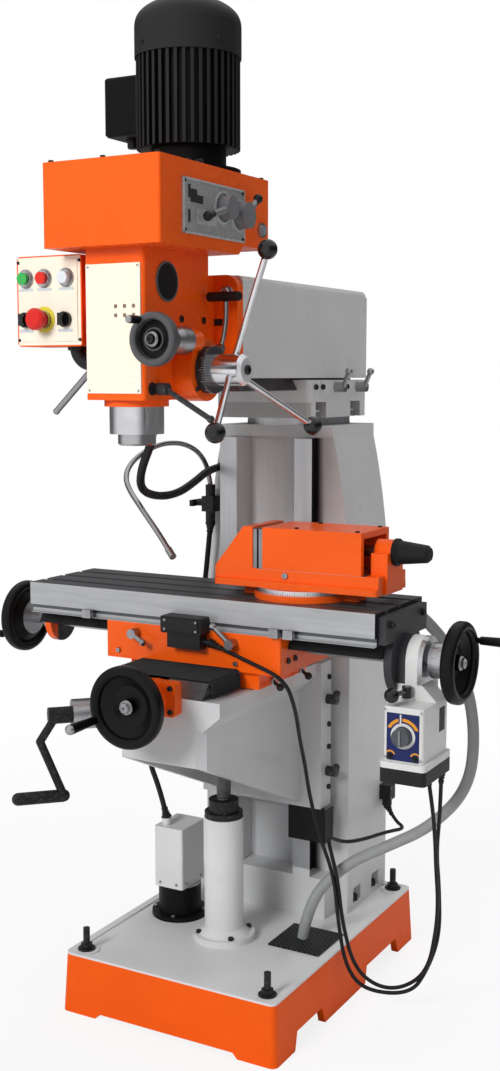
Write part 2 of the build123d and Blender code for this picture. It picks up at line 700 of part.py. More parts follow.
def knee_flare():
    """Widening of the knee under its ways."""
    low, high = KNEE_FLARE_Z
    flare = [(KNEE_HALF, low), (KNEE_FLARE_HALF, high), (KNEE_FLARE_HALF, KNEE_TOP_Z)]
    return along_y(mirrored(flare), (KNEE_FRONT, WAY_FRONT - SLIDE))


def knee_casting():
    rear = WAY_FRONT - SLIDE
    side = [(KNEE_FRONT, KNEE_FRONT_LOW_Z), (KNEE_FRONT, KNEE_TOP_Z)]
    side += [(rear, KNEE_TOP_Z), (rear, KNEE_REAR_LOW_Z)]
    knee = along_x(side, (-KNEE_HALF, KNEE_HALF))
    knee = chamfer(upright_edges(knee).group_by(Axis.Y)[0], KNEE_CHAMFER)
    knee += knee_flare()
    ways = [(CROSS_WAY_HALF - CROSS_WAY_UNDERCUT, KNEE_TOP_Z), (CROSS_WAY_HALF, CROSS_WAY_Z)]
    knee += along_y(mirrored(ways), (KNEE_FRONT, rear))
    knee -= block((-CROSS_TRENCH_HALF, CROSS_TRENCH_HALF), (KNEE_FRONT, rear - KNEE_WALL),
                  (CROSS_TRENCH_LOW_Z, CROSS_WAY_Z))
    inner = KNEE_HALF - KNEE_WALL
    knee -= block((-inner, inner), (KNEE_FRONT + KNEE_WALL, rear - 2 * KNEE_WALL), (0, KNEE_CEILING_Z))
    flange = block((-KNEE_FLANGE_HALF, KNEE_FLANGE_HALF), (rear - KNEE_FLANGE_T, rear),
                   (KNEE_REAR_LOW_Z, KNEE_TOP_Z))
    knee += flange
    for sign in (-1, 1):
        jaw = way_outline(SLIDE) + [(KNEE_FLANGE_HALF, WAY_FRONT + WAY_DEPTH), (KNEE_FLANGE_HALF, rear)]
        jaw = [(sign * x, y) for x, y in [(WAY_HALF + SLIDE, rear)] + jaw]
        knee += along_z(jaw, (KNEE_REAR_LOW_Z, KNEE_TOP_Z))
    knee -= rod_z(LIFT_JOURNAL_R + RUN, 0, POST_Y, (KNEE_CEILING_Z - 1, KNEE_CEILING_Z + 22))
    bore = bar_between(CRANK_SHAFT_R + RUN, crank_point(90), crank_point(180))
    return knee - bore


def crank_point(along, up=0.0):
    """Point on the crank's axis at a distance from the lifting screw, raised by up."""
    turn = radians(CRANK_TURN)
    return (-along * sin(turn), POST_Y - along * cos(turn), BEVEL_Z + up)


def knee_bearings():
    """Crank bearing on the knee's left side, cross screw bearing on its front, and the way wiper below."""
    crank = bar_between(CRANK_BEARING_R, crank_point(80), crank_point(CRANK_BEARING_END))
    crank += bar_between(CRANK_BEARING_R + 14, crank_point(80), crank_point(196))
    crank -= block((-KNEE_HALF, 200), (-600, 200), (BEVEL_Z - 100, BEVEL_Z + 100)) + knee_flare()
    crank -= bar_between(CRANK_SHAFT_R + RUN, crank_point(80), crank_point(CRANK_BEARING_END))
    half = CROSS_BEARING_HALF
    y = (KNEE_FRONT - CROSS_BEARING_T, KNEE_FRONT)
    cross = block((-half, half), y, (CROSS_SCREW_Z - 33, CROSS_SCREW_Z + 33))
    cross = fillet(cross.edges().filter_by(Axis.Y), 8)
    cross += rod_y(CROSS_DIAL_R + 4, 0, (KNEE_FRONT - CROSS_BEARING_T - 22, KNEE_FRONT), CROSS_SCREW_Z)
    cross -= rod_y(CROSS_SCREW_R + RUN, 0, (-600, 0), CROSS_SCREW_Z)
    front = WAY_FRONT - SLIDE - KNEE_FLANGE_T
    low = KNEE_REAR_LOW_Z - WIPER_H
    wiper = block(WIPER_X, (front, front + 3), (low, KNEE_REAR_LOW_Z))
    wiper += block((WIPER_X[1] - 3, WIPER_X[1]), (front, front + 40), (low, KNEE_REAR_LOW_Z - 2))
    wiper += block((WIPER_X[0], KNEE_FLANGE_HALF), (front, front + KNEE_FLANGE_T),
                   (KNEE_REAR_LOW_Z - 8, KNEE_REAR_LOW_Z))
    return group(crank, cross, wiper)


def elevating_screw():
    """Lifting screw under the knee with its bevel gear and the journal in the knee's roof."""
    apex = BEVEL_Z - BEVEL_GAP
    rise = BEVEL_GEAR_R / 2
    screw = rod_z(LIFT_SCREW_R, 0, POST_Y, (LIFT_SCREW_LOW_Z, apex - rise))
    screw += rod_z(LIFT_JOURNAL_R, 0, POST_Y, (apex - rise, KNEE_CEILING_Z + 21))
    screw += Pos(0, POST_Y, apex - 0.75 * rise) * Cone(BEVEL_GEAR_R, BEVEL_GEAR_R / 2, rise / 2)
    return screw + rod_z(BEVEL_GEAR_R, 0, POST_Y, (apex - rise - 10, apex - rise))


def elevating_crank():
    """Crank with its shaft and the bevel pinion inside the knee."""
    length = BEVEL_GEAR_R / 2
    pinion = Cone(BEVEL_GEAR_R / 4, BEVEL_GEAR_R / 2, length, align=(Align.CENTER, Align.CENTER, Align.MIN))
    place = Plane(origin=crank_point(length), z_dir=Vector(*crank_point(1)) - Vector(*crank_point(0)))
    crank = place.location * pinion
    crank += bar_between(CRANK_SHAFT_R, crank_point(2 * length), crank_point(CRANK_HUB_END))
    crank += bar_between(CRANK_HUB_R, crank_point(CRANK_BEARING_END + SLIDE), crank_point(CRANK_HUB_END))
    hub = CRANK_HUB_END - CRANK_HUB_R
    bend = crank_point(hub + CRANK_BEND[0], -CRANK_BEND[1])
    reach = crank_point(hub + CRANK_REACH[0], -CRANK_REACH[1])
    crank += bar_between(CRANK_ARM_R, crank_point(hub), bend)
    crank += ball(CRANK_ARM_R, bend)
    crank += bar_between(CRANK_ARM_R, bend, reach)
    crank += ball(CRANK_ARM_R + 4, reach)
    grip = crank_point(hub + CRANK_REACH[0] + CRANK_GRIP_L, -CRANK_REACH[1])
    crank += bar_between(CRANK_GRIP_R, reach, grip)
    return crank + ball(CRANK_GRIP_R, grip)


def handwheel():
    """Handwheel about +Z: boss, dished web, round rim and a grip that turns on its pin on the far side."""
    middle = WHEEL_DISH + WHEEL_RIM_W / 2
    rim = Pos(WHEEL_R - WHEEL_RIM / 2, middle) * RectangleRounded(WHEEL_RIM, WHEEL_RIM_W, WHEEL_RIM * 0.48)
    wheel = revolve(Plane.XZ * rim, Axis.Z)
    half = WHEEL_WEB_T / 2
    inner = WHEEL_R - WHEEL_RIM * 0.8
    web = [(0, 0), (WHEEL_BOSS_R, 0), (inner, middle - half), (inner, middle + half)]
    web += [(WHEEL_BOSS_R, WHEEL_WEB_T + 3), (WHEEL_HUB_R, WHEEL_WEB_T + 3)]
    web += [(WHEEL_HUB_R, WHEEL_HUB_L - 2), (WHEEL_HUB_R - 2, WHEEL_HUB_L), (0, WHEEL_HUB_L)]
    wheel += revolve(Plane.XZ * Polygon(*web, align=None), Axis.Z)
    reach = WHEEL_R - WHEEL_RIM / 2
    top = WHEEL_DISH + WHEEL_RIM_W
    grip = rod_z(WHEEL_GRIP_R * 0.55, reach, 0, (top - 2, top + 6))
    grip += Pos(reach, 0, top + 6 + WHEEL_GRIP_L / 2) * Cone(WHEEL_GRIP_R * 0.8, WHEEL_GRIP_R, WHEEL_GRIP_L)
    return wheel + grip + ball(WHEEL_GRIP_R, (reach, 0, top + 6 + WHEEL_GRIP_L))


def cross_screw():
    """Cross feed screw with its dial and handwheel in front of the knee."""
    screw = rod_y(CROSS_SCREW_R, 0, (CROSS_WHEEL_Y, CROSS_SCREW_END), CROSS_SCREW_Z)
    face = KNEE_FRONT - CROSS_BEARING_T - 22 - SLIDE
    screw += rod_y(CROSS_DIAL_R, 0, (CROSS_WHEEL_Y, face), CROSS_SCREW_Z)
    place = Pos(0, CROSS_WHEEL_Y, CROSS_SCREW_Z) * Rot(90, 0, 0) * Rot(0, 0, CROSS_GRIP_TURN)
    return screw + place * handwheel()


def saddle_casting():
    low, high = CROSS_WAY_Z, TABLE_LOW_Z
    saddle = block((-SADDLE_HALF, SADDLE_HALF), (SADDLE_FRONT, SADDLE_REAR), (low, high))
    saddle = fillet(upright_edges(saddle), 5)
    foot = low - SADDLE_JAW_DROP
    slope = CROSS_WAY_UNDERCUT / CROSS_WAY_H
    for sign in (-1, 1):
        inner = CROSS_WAY_HALF + SLIDE
        jaw = [(inner, low), (inner - slope * SADDLE_JAW_DROP, foot)]
        jaw += [(SADDLE_JAW_HALF, foot), (SADDLE_JAW_HALF, low)]
        saddle += along_y([(sign * x, z) for x, z in jaw], (SADDLE_FRONT + 12, SADDLE_REAR - 12))
    saddle += block((-CROSS_NUT_HALF, CROSS_NUT_HALF), CROSS_NUT_Y, (CROSS_NUT_LOW_Z, low))
    saddle -= rod_y(CROSS_SCREW_R + RUN, 0, CROSS_NUT_Y, CROSS_SCREW_Z)
    bottom = high - TABLE_WAY_H
    wide = TABLE_WAY_HALF + SLIDE
    narrow = wide - TABLE_WAY_UNDERCUT
    slot = [(TABLE_MID - narrow, high), (TABLE_MID - wide, bottom)]
    slot += [(TABLE_MID + wide, bottom), (TABLE_MID + narrow, high)]
    saddle -= along_x(slot, (-SADDLE_HALF, SADDLE_HALF))
    return saddle - rod_x(TABLE_SCREW_R + RUN, (-SADDLE_HALF, SADDLE_HALF), TABLE_MID, TABLE_SCREW_Z)


def way_cover():
    """Folded rubber cover over the knee's ways in front of the saddle."""
    half = CROSS_WAY_HALF + COVER_SIDE
    low = CROSS_WAY_Z - COVER_SKIRT
    outer = [(half, low), (half, CROSS_WAY_Z + COVER_T + SLIDE)]
    inner = [(half - COVER_T, low - COVER_T), (half - COVER_T, CROSS_WAY_Z + SLIDE)]
    y = (KNEE_FRONT + 6, SADDLE_FRONT - SLIDE)
    return along_y(mirrored(outer), y) - along_y(mirrored(inner), y)


def limit_switch():
    """Travel switch on the saddle's front."""
    x, z = LIMIT_SWITCH
    face = SADDLE_FRONT
    switch = block((x - 47, x + 47), (face - 33, face), (z, z + 34))
    switch = fillet(switch.edges().filter_by(Axis.Y), 4)
    lower = block((x - 36, x + 40), (face - 26, face), (z - 30, z))
    gland = rod_x(6, (x + 40, x + 54), face - 13, z - 15)
    return switch + lower + gland


def clamp_lever(base, along, hub, end, arm_r, knob_r):
    """Clamp lever: hub from base for a length along a direction, then an arm to its knob."""
    foot = Vector(*base)
    ahead = Vector(*along).normalized()
    radius, length = hub
    top = foot + ahead * length
    centre = foot + ahead * (length - arm_r - 1)
    lever = bar_between(radius, base, (top.X, top.Y, top.Z))
    lever += bar_between(arm_r, (centre.X, centre.Y, centre.Z), end)
    run = Vector(*end) - centre
    return lever + ball(knob_r, end, (run.X, run.Y, run.Z))


def table():
    """Table with T-slots, a stop groove in its front edge and the dovetail it slides on."""
    rear = TABLE_FRONT + TABLE_D
    slab = block((-TABLE_HALF, TABLE_HALF), (TABLE_FRONT, rear), (TABLE_LOW_Z, TABLE_TOP_Z))
    bottom = TABLE_LOW_Z - TABLE_WAY_H
    narrow = TABLE_WAY_HALF - TABLE_WAY_UNDERCUT
    way = [(TABLE_MID - narrow, TABLE_LOW_Z), (TABLE_MID - TABLE_WAY_HALF, bottom)]
    way += [(TABLE_MID + TABLE_WAY_HALF, bottom), (TABLE_MID + narrow, TABLE_LOW_Z)]
    slab += along_x(way, (-TABLE_HALF, TABLE_HALF))
    ends = (-TABLE_HALF, TABLE_HALF)
    groove = TABLE_SCREW_R + LOOSE
    slab -= block(ends, (TABLE_MID - groove, TABLE_MID + groove), (bottom, TABLE_SCREW_Z + groove))
    lip = TABLE_TOP_Z - SLOT_LIP
    for step in (-1, 0, 1):
        y = TABLE_MID + step * SLOT_PITCH
        slab -= block(ends, (y - SLOT_W / 2, y + SLOT_W / 2), (lip - 1, TABLE_TOP_Z))
        slab -= block(ends, (y - SLOT_T_W / 2, y + SLOT_T_W / 2), (lip - SLOT_T_H, lip))
    deep, half = STOP_GROOVE
    return slab - block(ends, (TABLE_FRONT, TABLE_FRONT + deep),
                        (STOP_GROOVE_Z - half, STOP_GROOVE_Z + half))


def table_fittings():
    """Bearing brackets on both ends of the table and the stops along its front."""
    x = (TABLE_HALF, TABLE_HALF + BRACKET_T)
    right = block(x, (TABLE_FRONT + 14, TABLE_FRONT + TABLE_D - 14), (TABLE_LOW_Z + 4, TABLE_TOP_Z - 8))
    right += rod_x(BRACKET_R_RIGHT, x, TABLE_MID, TABLE_SCREW_Z)
    left_x = (-x[1], -x[0])
    left = block(left_x, (TABLE_MID - 68, TABLE_MID + 68), (TABLE_LOW_Z, TABLE_TOP_Z - 14))
    left += rod_x(BRACKET_R_LEFT, left_x, TABLE_MID, TABLE_SCREW_Z)
    bore = rod_x(TABLE_SCREW_R + RUN, (-x[1], x[1]), TABLE_MID, TABLE_SCREW_Z)
    wide, deep, tall = STOP_SIZE
    stops = [block((x - wide / 2, x + wide / 2), (TABLE_FRONT - deep, TABLE_FRONT),
                   (STOP_GROOVE_Z - 8, STOP_GROOVE_Z - 8 + tall)) for x in STOPS_X]
    return group(right - bore, left - bore, *stops)


def table_screw():
    """Table feed screw with a dial and a handwheel at each end."""
    screw = rod_x(TABLE_SCREW_R, (LEFT_WHEEL_X, RIGHT_WHEEL_X), TABLE_MID, TABLE_SCREW_Z)
    end = TABLE_HALF + BRACKET_T + SLIDE
    screw += rod_x(LEFT_DIAL_R, (-end - 22, -end), TABLE_MID, TABLE_SCREW_Z)
    screw += rod_x(SCREW_DIAL_R, (RIGHT_WHEEL_X - SCREW_DIAL_L, RIGHT_WHEEL_X), TABLE_MID, TABLE_SCREW_Z)
    right = Pos(RIGHT_WHEEL_X, TABLE_MID, TABLE_SCREW_Z) * Rot(0, 90, 0) * Rot(0, 0, RIGHT_GRIP_TURN)
    left = Pos(LEFT_WHEEL_X, TABLE_MID, TABLE_SCREW_Z) * Rot(0, -90, 0) * Rot(0, 0, LEFT_GRIP_TURN)
    return screw + right * handwheel() + left * handwheel()


def power_feed():
    """Power feed: ring round the table screw, motor case below it, and a dark cap under the case."""
    start = TABLE_HALF + BRACKET_T
    ring = (start, start + FEED_RING_L)
    case = block(FEED_CASE_X, FEED_CASE_Y, FEED_CASE_Z)
    case = fillet(upright_edges(case), 8)
    case += block(ring, (TABLE_MID - 46, TABLE_MID + 40), (FEED_CASE_Z[1] - 6, TABLE_SCREW_Z))
    top = FEED_CASE_Z[1]
    rise = FEED_CASE_X[1] - ring[1]
    shoulder = [(ring[0], top - 8), (FEED_CASE_X[1], top - 8), (FEED_CASE_X[1], top)]
    shoulder += [(ring[1], top + rise), (ring[0], top + rise)]
    case += along_y(shoulder, (TABLE_MID - 46, FEED_CASE_Y[1] - 8))
    case += rod_x(FEED_RING_R, ring, TABLE_MID, TABLE_SCREW_Z)
    lug_x, lug_y = FEED_LEVER
    case += block((lug_x - 10, lug_x + 10), (lug_y - 10, TABLE_MID - 45),
                  (FEED_LEVER_Z - 18, FEED_LEVER_Z - 10))
    case -= rod_x(TABLE_SCREW_R + RUN, ring, TABLE_MID, TABLE_SCREW_Z)
    proud = FEED_CAP_PROUD
    cap_x = (FEED_CASE_X[0] - proud, FEED_CASE_X[1] + proud)
    cap_y = (FEED_CASE_Y[0] - proud, FEED_CASE_Y[1] + proud)
    lip = block(cap_x, cap_y, (FEED_CASE_Z[0], FEED_CASE_Z[0] + FEED_LIP_H))
    case += fillet(upright_edges(lip), 10)
    cap = block(cap_x, cap_y, (FEED_CASE_Z[0] - FEED_CAP_H, FEED_CASE_Z[0]))
    cap = fillet(upright_edges(cap), 10)
    return group(case, cap)


def feed_lever():
    """Direction lever of the power feed, swinging to either side."""
    x, y = FEED_LEVER
    z = FEED_LEVER_Z
    lever = rod_z(9, x, y, (z - 10, z + 12))
    end = (x - 5, y - 60, z + 6)
    return lever + bar_between(5, (x, y, z + 2), end) + ball(14, end)


def feed_knob():
    """Speed knob on the power feed's front."""
    x = (FEED_CASE_X[0] + FEED_CASE_X[1]) / 2
    y = FEED_CASE_Y[0]
    knob = rod_y(FEED_KNOB_R, x, (y - 16, y), FEED_KNOB_Z)
    return knob + block((x - 2, x + 2), (y - 19, y), (FEED_KNOB_Z - 14, FEED_KNOB_Z + 14))


def vise_at(part):
    return Pos(VISE_X, VISE_Y, 0) * part


def vise_base():
    ring = VISE_Z - VISE_RING_H
    base = rod_z(VISE_BASE_R, 0, 0, (TABLE_TOP_Z, ring))
    base += rod_z(VISE_RING_R, 0, 0, (ring, VISE_Z))
    long, wide, tall = VISE_EAR
    base += block((-long / 2, long / 2), (-wide / 2, wide / 2), (TABLE_TOP_Z, TABLE_TOP_Z + tall))
    return vise_at(base)


def vise_body():
    """Vise bed with its fixed jaw, jaw plate and the bracket that carries the screw's nut."""
    body = block((VISE_LEFT, VISE_RIGHT), (-VISE_HALF, VISE_HALF), (VISE_Z, VISE_BED_Z))
    proud, thick = VISE_FLANGE
    flange = block((VISE_LEFT, VISE_RIGHT), (-VISE_HALF - proud, VISE_HALF + proud),
                   (VISE_Z, VISE_Z + thick))
    body += fillet(upright_edges(flange), proud)
    left, right = VISE_FIXED
    face = right - VISE_PLATE_T
    jaw = [(VISE_LEFT, VISE_BED_Z), (left, VISE_TOP_Z), (face, VISE_TOP_Z), (face, VISE_BED_Z)]
    body += along_y(jaw, (-VISE_HALF, VISE_HALF))
    body += block((face, right), (-VISE_HALF + 2, VISE_HALF - 2), (VISE_BED_Z, VISE_TOP_Z - 4))
    slot = VISE_KEY_HALF + SLIDE
    body -= block((right, VISE_NUT_X[0]), (-slot, slot), (VISE_BED_Z - VISE_KEY_H - SLIDE, VISE_BED_Z))
    nut = block(VISE_NUT_X, (-VISE_NUT_R - 14, VISE_NUT_R + 14), (VISE_Z, VISE_SCREW_Z))
    nut += rod_x(VISE_NUT_R, VISE_NUT_X, 0, VISE_SCREW_Z)
    body += nut
    return vise_at(body - rod_x(VISE_SCREW_R + RUN, VISE_NUT_X, 0, VISE_SCREW_Z))


def vise_jaw():
    """Moving jaw: solid nose with its plate and key, and the hood that covers the screw behind it."""
    low, high = VISE_BED_Z, VISE_TOP_Z
    start, end = VISE_JAW
    nose = start + VISE_NOSE_L
    half = VISE_HALF
    jaw = block((start + VISE_PLATE_T, end), (-half, half), (low, high))
    inner = half - VISE_JAW_WALL
    jaw -= block((nose, end), (-inner, inner), (low, high - VISE_JAW_WALL))
    jaw += block((start, start + VISE_PLATE_T), (-half + 2, half - 2), (low, high - 4))
    jaw += block((start, nose), (-VISE_KEY_HALF, VISE_KEY_HALF), (low - VISE_KEY_H, low))
    jaw -= rod_x(VISE_SCREW_R + RUN, (nose - 26, nose), 0, VISE_SCREW_Z)
    return vise_at(jaw)


def vise_screw():
    """Vise screw held in the moving jaw, with the rubber boot over its square end."""
    nose = VISE_JAW[0] + VISE_NOSE_L
    start = VISE_NUT_X[1] + SLIDE
    screw = rod_x(VISE_SCREW_R, (nose - 25, start), 0, VISE_SCREW_Z)
    wide, narrow = VISE_BOOT_R
    end = VISE_BOOT_L
    boot = [(0, 0), (wide, 0), (wide, end * 0.12), (wide - 3, end * 0.16)]
    boot += [(narrow, end - 6), (narrow - 5, end), (0, end)]
    boot = revolve(Plane.XZ * Polygon(*boot, align=None), Axis.Z)
    return vise_at(screw + Pos(start, 0, VISE_SCREW_Z) * Rot(0, 90, 0) * boot)


def turret_saddle():
    """Swivel base on the column with the dovetail seat of the ram."""
    seat = rod_z(TURRET_R, 0, TURRET_Y, (COLUMN_TOP_Z, SEAT_LOW_Z))
    body = block((-SEAT_HALF, SEAT_HALF), (SEAT_FRONT, SEAT_REAR), (SEAT_LOW_Z, SEAT_TOP_Z))
    body = fillet(upright_edges(body), 12)
    bottom = RAM_LOW_Z - RAM_WAY_H
    slope = RAM_WAY_UNDERCUT / RAM_WAY_H
    wide = RAM_WAY_HALF + SLIDE
    slot = [(wide, bottom), (wide - slope * (SEAT_TOP_Z - bottom), SEAT_TOP_Z)]
    body -= along_y(mirrored(slot), (SEAT_FRONT, SEAT_REAR))
    deep, half, tall = SEAT_POCKET
    for sign in (-1, 1):
        x = sorted((sign * SEAT_HALF, sign * (SEAT_HALF - deep)))
        for y in (SEAT_FRONT + 2 * half, SEAT_REAR - 2 * half - 10):
            body -= block(x, (y - half, y + half), (SEAT_LOW_Z, SEAT_LOW_Z + tall))
    return seat + body


def ram_lock(y):
    """Lock lever on the turret's right side."""
    z = SEAT_TOP_Z - 16
    out, lean, rise = RAM_LOCK_END
    end = (SEAT_HALF + out, y - lean, z + rise)
    return clamp_lever((SEAT_HALF, y, z), (1, 0, 0), (11, 24), end, 5, 8)


def ram_casting():
    low = RAM_LOW_Z
    ram = block((-RAM_HALF, RAM_HALF), (RAM_FRONT, RAM_REAR), (low, RAM_TOP_Z))
    top = ram.edges().filter_by(Axis.Y).group_by(Axis.Z)[-1]
    ram = fillet(top, RAM_ROUND)
    way = [(RAM_WAY_HALF, low - RAM_WAY_H), (RAM_WAY_HALF - RAM_WAY_UNDERCUT, low)]
    ram += along_y(mirrored(way), (RAM_FRONT + RAM_WAY_START, RAM_REAR))
    inner = RAM_HALF - 20
    ram -= block((-inner, inner), (RAM_FRONT + RAM_NOSE_T, RAM_REAR), (low + 22, RAM_TOP_Z - 20))
    ram -= rod_y(SPIGOT_R + RUN, 0, (RAM_FRONT, RAM_FRONT + RAM_NOSE_T), TILT_Z)
    rear = block((-RAM_HALF, RAM_HALF), (RAM_REAR, RAM_REAR + 6), (low, RAM_TOP_Z - RAM_ROUND))
    return ram + rear


def involute_half(teeth, backlash):
    """Right flank of a spur tooth centred on +X: radius and half angle from the root to the tip."""
    pitch_r = MODULE * teeth / 2
    base_r = pitch_r * cos(radians(PRESSURE))
    tip_r = pitch_r + MODULE
    root_r = pitch_r - 1.25 * MODULE
    spread = tan(radians(PRESSURE)) - radians(PRESSURE)
    half = pi / (2 * teeth) - backlash / (2 * pitch_r)
    flank = [(root_r, half + spread)]
    steps = 4
    for i in range(steps + 1):
        radius = max(base_r, root_r) + (tip_r - max(base_r, root_r)) * i / steps
        roll = acos(min(1.0, base_r / radius))
        flank.append((radius, half + spread - (tan(roll) - roll)))
    return flank


def gear(teeth, width, turn=0.0):
    """Spur gear about +Z from the origin up, with a tooth centred on +X before it is turned."""
    flank = involute_half(teeth, BACKLASH)
    points = []
    for i in range(teeth):
        mid = 2 * pi * i / teeth + radians(turn)
        points += [(r * cos(mid - a), r * sin(mid - a)) for r, a in flank]
        points += [(r * cos(mid + a), r * sin(mid + a)) for r, a in reversed(flank)]
    return extrude(Polygon(*points, align=None), width)


def head_casting():
    """Head with the quill's bore, the rack pinion's chamber, the feed bulge and the tilting flange."""
    body = block((-HEAD_HALF, HEAD_HALF), (HEAD_FRONT, HEAD_REAR), (HEAD_LOW_Z, HEAD_TOP_Z))
    body = fillet(upright_edges(body), HEAD_ROUND)
    body += rod_z(HEAD_COLLAR_R, 0, SPINDLE_Y, (HEAD_LOW_Z - HEAD_COLLAR_H, HEAD_LOW_Z))
    flange_y = (RAM_FRONT - TILT_FLANGE_T, RAM_FRONT)
    half = TILT_FLANGE_HALF
    flange = block((-half, half), flange_y, (RAM_LOW_Z - 14, RAM_TOP_Z))
    flange = fillet(flange.edges().filter_by(Axis.Y), TILT_FLANGE_ROUND)
    body += flange + rod_y(SPIGOT_R, 0, (RAM_FRONT, RAM_FRONT + SPIGOT_L), TILT_Z)
    body += block((-NECK_HALF, NECK_HALF), (HEAD_REAR - 1, flange_y[0]),
                  (HEAD_LOW_Z + NECK_STEPS[0], HEAD_TOP_Z - NECK_STEPS[1]))
    body += rod_x(BULGE_R, (NECK_HALF, BULGE_X), FEED_Y, FEED_Z)
    boss_y = (WORM_BOSS_FRONT, WORM_BOSS_REAR)
    body += rod_y(WORM_BOSS_R, WORM_X, boss_y, WORM_Z)
    body += block((HEAD_HALF - 2, WORM_X), boss_y, (WORM_Z - 14, WORM_Z + 14))
    body -= rod_z(QUILL_R + RUN, 0, SPINDLE_Y, (HEAD_LOW_Z - HEAD_COLLAR_H, QUILL_TOP_Z + 12))
    body -= rod_z(SLEEVE_R + LOOSE, 0, SPINDLE_Y, (QUILL_TOP_Z, HEAD_TOP_Z))
    chamber = PINION_R + MODULE + 1.5
    body -= rod_x(chamber, (-RACK_W / 2 - 2, HEAD_HALF), FEED_Y, FEED_Z)
    body -= rod_x(FEED_SHAFT_R + RUN, (-FEED_SHAFT_END, BULGE_X), FEED_Y, FEED_Z)
    return body - rod_y(WORM_R + RUN, WORM_X, (WORM_BOSS_FRONT, WORM_BOSS_REAR - 5), WORM_Z)


def quill():
    """Quill with the feed rack milled into its back and a bore for the spindle."""
    sleeve = rod_z(QUILL_R, 0, SPINDLE_Y, (QUILL_LOW_Z, QUILL_TOP_Z))
    pitch = pi * MODULE
    half = RACK_W / 2
    root = RACK_LINE - 1.25 * MODULE
    tip = RACK_LINE + MODULE
    spaces = range(-RACK_SPACES_BELOW, RACK_SPACES_ABOVE + 1)
    ends = (FEED_Z + (spaces[0] - 0.5) * pitch, FEED_Z + (spaces[-1] + 0.5) * pitch)
    sleeve -= block((-half, half), (tip, tip + QUILL_R), ends)
    lean = tan(radians(PRESSURE))
    wide = pitch / 4 + BACKLASH / 2 + MODULE * lean
    narrow = pitch / 4 + BACKLASH / 2 - 1.25 * MODULE * lean
    for i in spaces:
        z = FEED_Z + i * pitch
        space = [(tip, z - wide), (tip, z + wide), (root, z + narrow), (root, z - narrow)]
        sleeve -= along_x(space, (-half, half))
    return sleeve - rod_z(SPINDLE_R + RUN, 0, SPINDLE_Y, (QUILL_LOW_Z, QUILL_TOP_Z))


def spindle():
    """Spindle in the quill: nose with its collet bore below, long drive shaft above."""
    low = QUILL_LOW_Z - NOSE_H
    shaft = rod_z(SPINDLE_R, 0, SPINDLE_Y, (low, QUILL_TOP_Z - 4))
    shaft += rod_z(SPLINE_R, 0, SPINDLE_Y, (low, SPLINE_TOP_Z))
    nose = rod_z(NOSE_R, 0, SPINDLE_Y, (low, QUILL_LOW_Z - SLIDE))
    nose = chamfer(nose.edges().group_by(Axis.Z)[0], 3)
    return shaft + nose - rod_z(COLLET_R, 0, SPINDLE_Y, (low, low + COLLET_L))


def spindle_gear():
    """Driven gear and sleeve in the gearbox; the spindle's shaft slides through it."""
    low, high = GEAR_Z
    wheel = Pos(0, SPINDLE_Y, low) * gear(SPINDLE_TEETH, high - low, 90.0)
    wheel += rod_z(SLEEVE_R, 0, SPINDLE_Y, (QUILL_TOP_Z + 14, low))
    wheel += rod_z(SLEEVE_R, 0, SPINDLE_Y, (high, high + 14))
    return wheel - rod_z(SPLINE_R + RUN, 0, SPINDLE_Y, (QUILL_TOP_Z, high + 14))


def counter_gear():
    """Idler between the motor's pinion and the spindle's gear, on its own shaft."""
    low, high = GEAR_Z
    turn = -90.0 + 180.0 / COUNTER_TEETH
    wheel = Pos(0, COUNTER_Y, low) * gear(COUNTER_TEETH, high - low, turn)
    wheel += rod_z(GEAR_SHAFT_R, 0, COUNTER_Y, (BOX_LOW_Z + 8, BOX_TOP_Z - 6))
    return wheel + rod_z(GEAR_SHAFT_R + 8, 0, COUNTER_Y, (BOX_FLOOR_Z + SLIDE, low))


def motor_rotor():
    """Motor rotor with its shaft and the pinion that drives the gear train."""
    low, high = GEAR_Z
    counter = -90.0 + 180.0 / COUNTER_TEETH
    facing = (90.0 - counter) / (360.0 / COUNTER_TEETH)
    phase = (facing - round(facing)) * (360.0 / MOTOR_PINION_TEETH)
    turn = -90.0 + 180.0 / MOTOR_PINION_TEETH + phase
    rotor = Pos(0, MOTOR_Y, low) * gear(MOTOR_PINION_TEETH, high - low, turn)
    rotor += rod_z(GEAR_SHAFT_R, 0, MOTOR_Y, (low, MOTOR_TOP_Z - 8))
    return rotor + rod_z(ROTOR_R, 0, MOTOR_Y, ROTOR_Z)


def gearbox_case():
    side = [(BOX_FRONT, BOX_LOW_Z), (BOX_FRONT, BOX_TOP_Z), (BOX_REAR, BOX_TOP_Z), (BOX_REAR, BOX_STEP_Z)]
    side += [(BOX_STEP_Y, BOX_STEP_Z), (BOX_STEP_Y - BOX_STEP_Z + BOX_LOW_Z, BOX_LOW_Z)]
    case = along_x(side, (-BOX_HALF, BOX_HALF))
    case = fillet(upright_edges(case), BOX_ROUND)
    wall = BOX_WALL
    case -= block((wall - BOX_HALF, BOX_HALF - wall), (BOX_FRONT + wall, BOX_REAR - wall),
                  (BOX_FLOOR_Z, BOX_TOP_Z - wall))
    case -= rod_z(SLEEVE_R + RUN, 0, SPINDLE_Y, (BOX_LOW_Z, BOX_FLOOR_Z))
    case -= rod_z(GEAR_SHAFT_R + RUN, 0, COUNTER_Y, (BOX_LOW_Z + 7, BOX_TOP_Z - 5))
    return case - rod_z(GEAR_SHAFT_R + LOOSE, 0, MOTOR_Y, (BOX_FLOOR_Z, BOX_TOP_Z))


def fin_outline():
    """Star outline of the motor's cooling fins."""
    points = []
    step = 2 * pi / MOTOR_FINS
    for i in range(MOTOR_FINS):
        mid = i * step
        for radius, share in ((MOTOR_R, -0.3), (MOTOR_FIN_R, -0.2), (MOTOR_FIN_R, 0.2), (MOTOR_R, 0.3)):
            angle = mid + share * step
            points.append((radius * cos(angle), radius * sin(angle)))
    return points


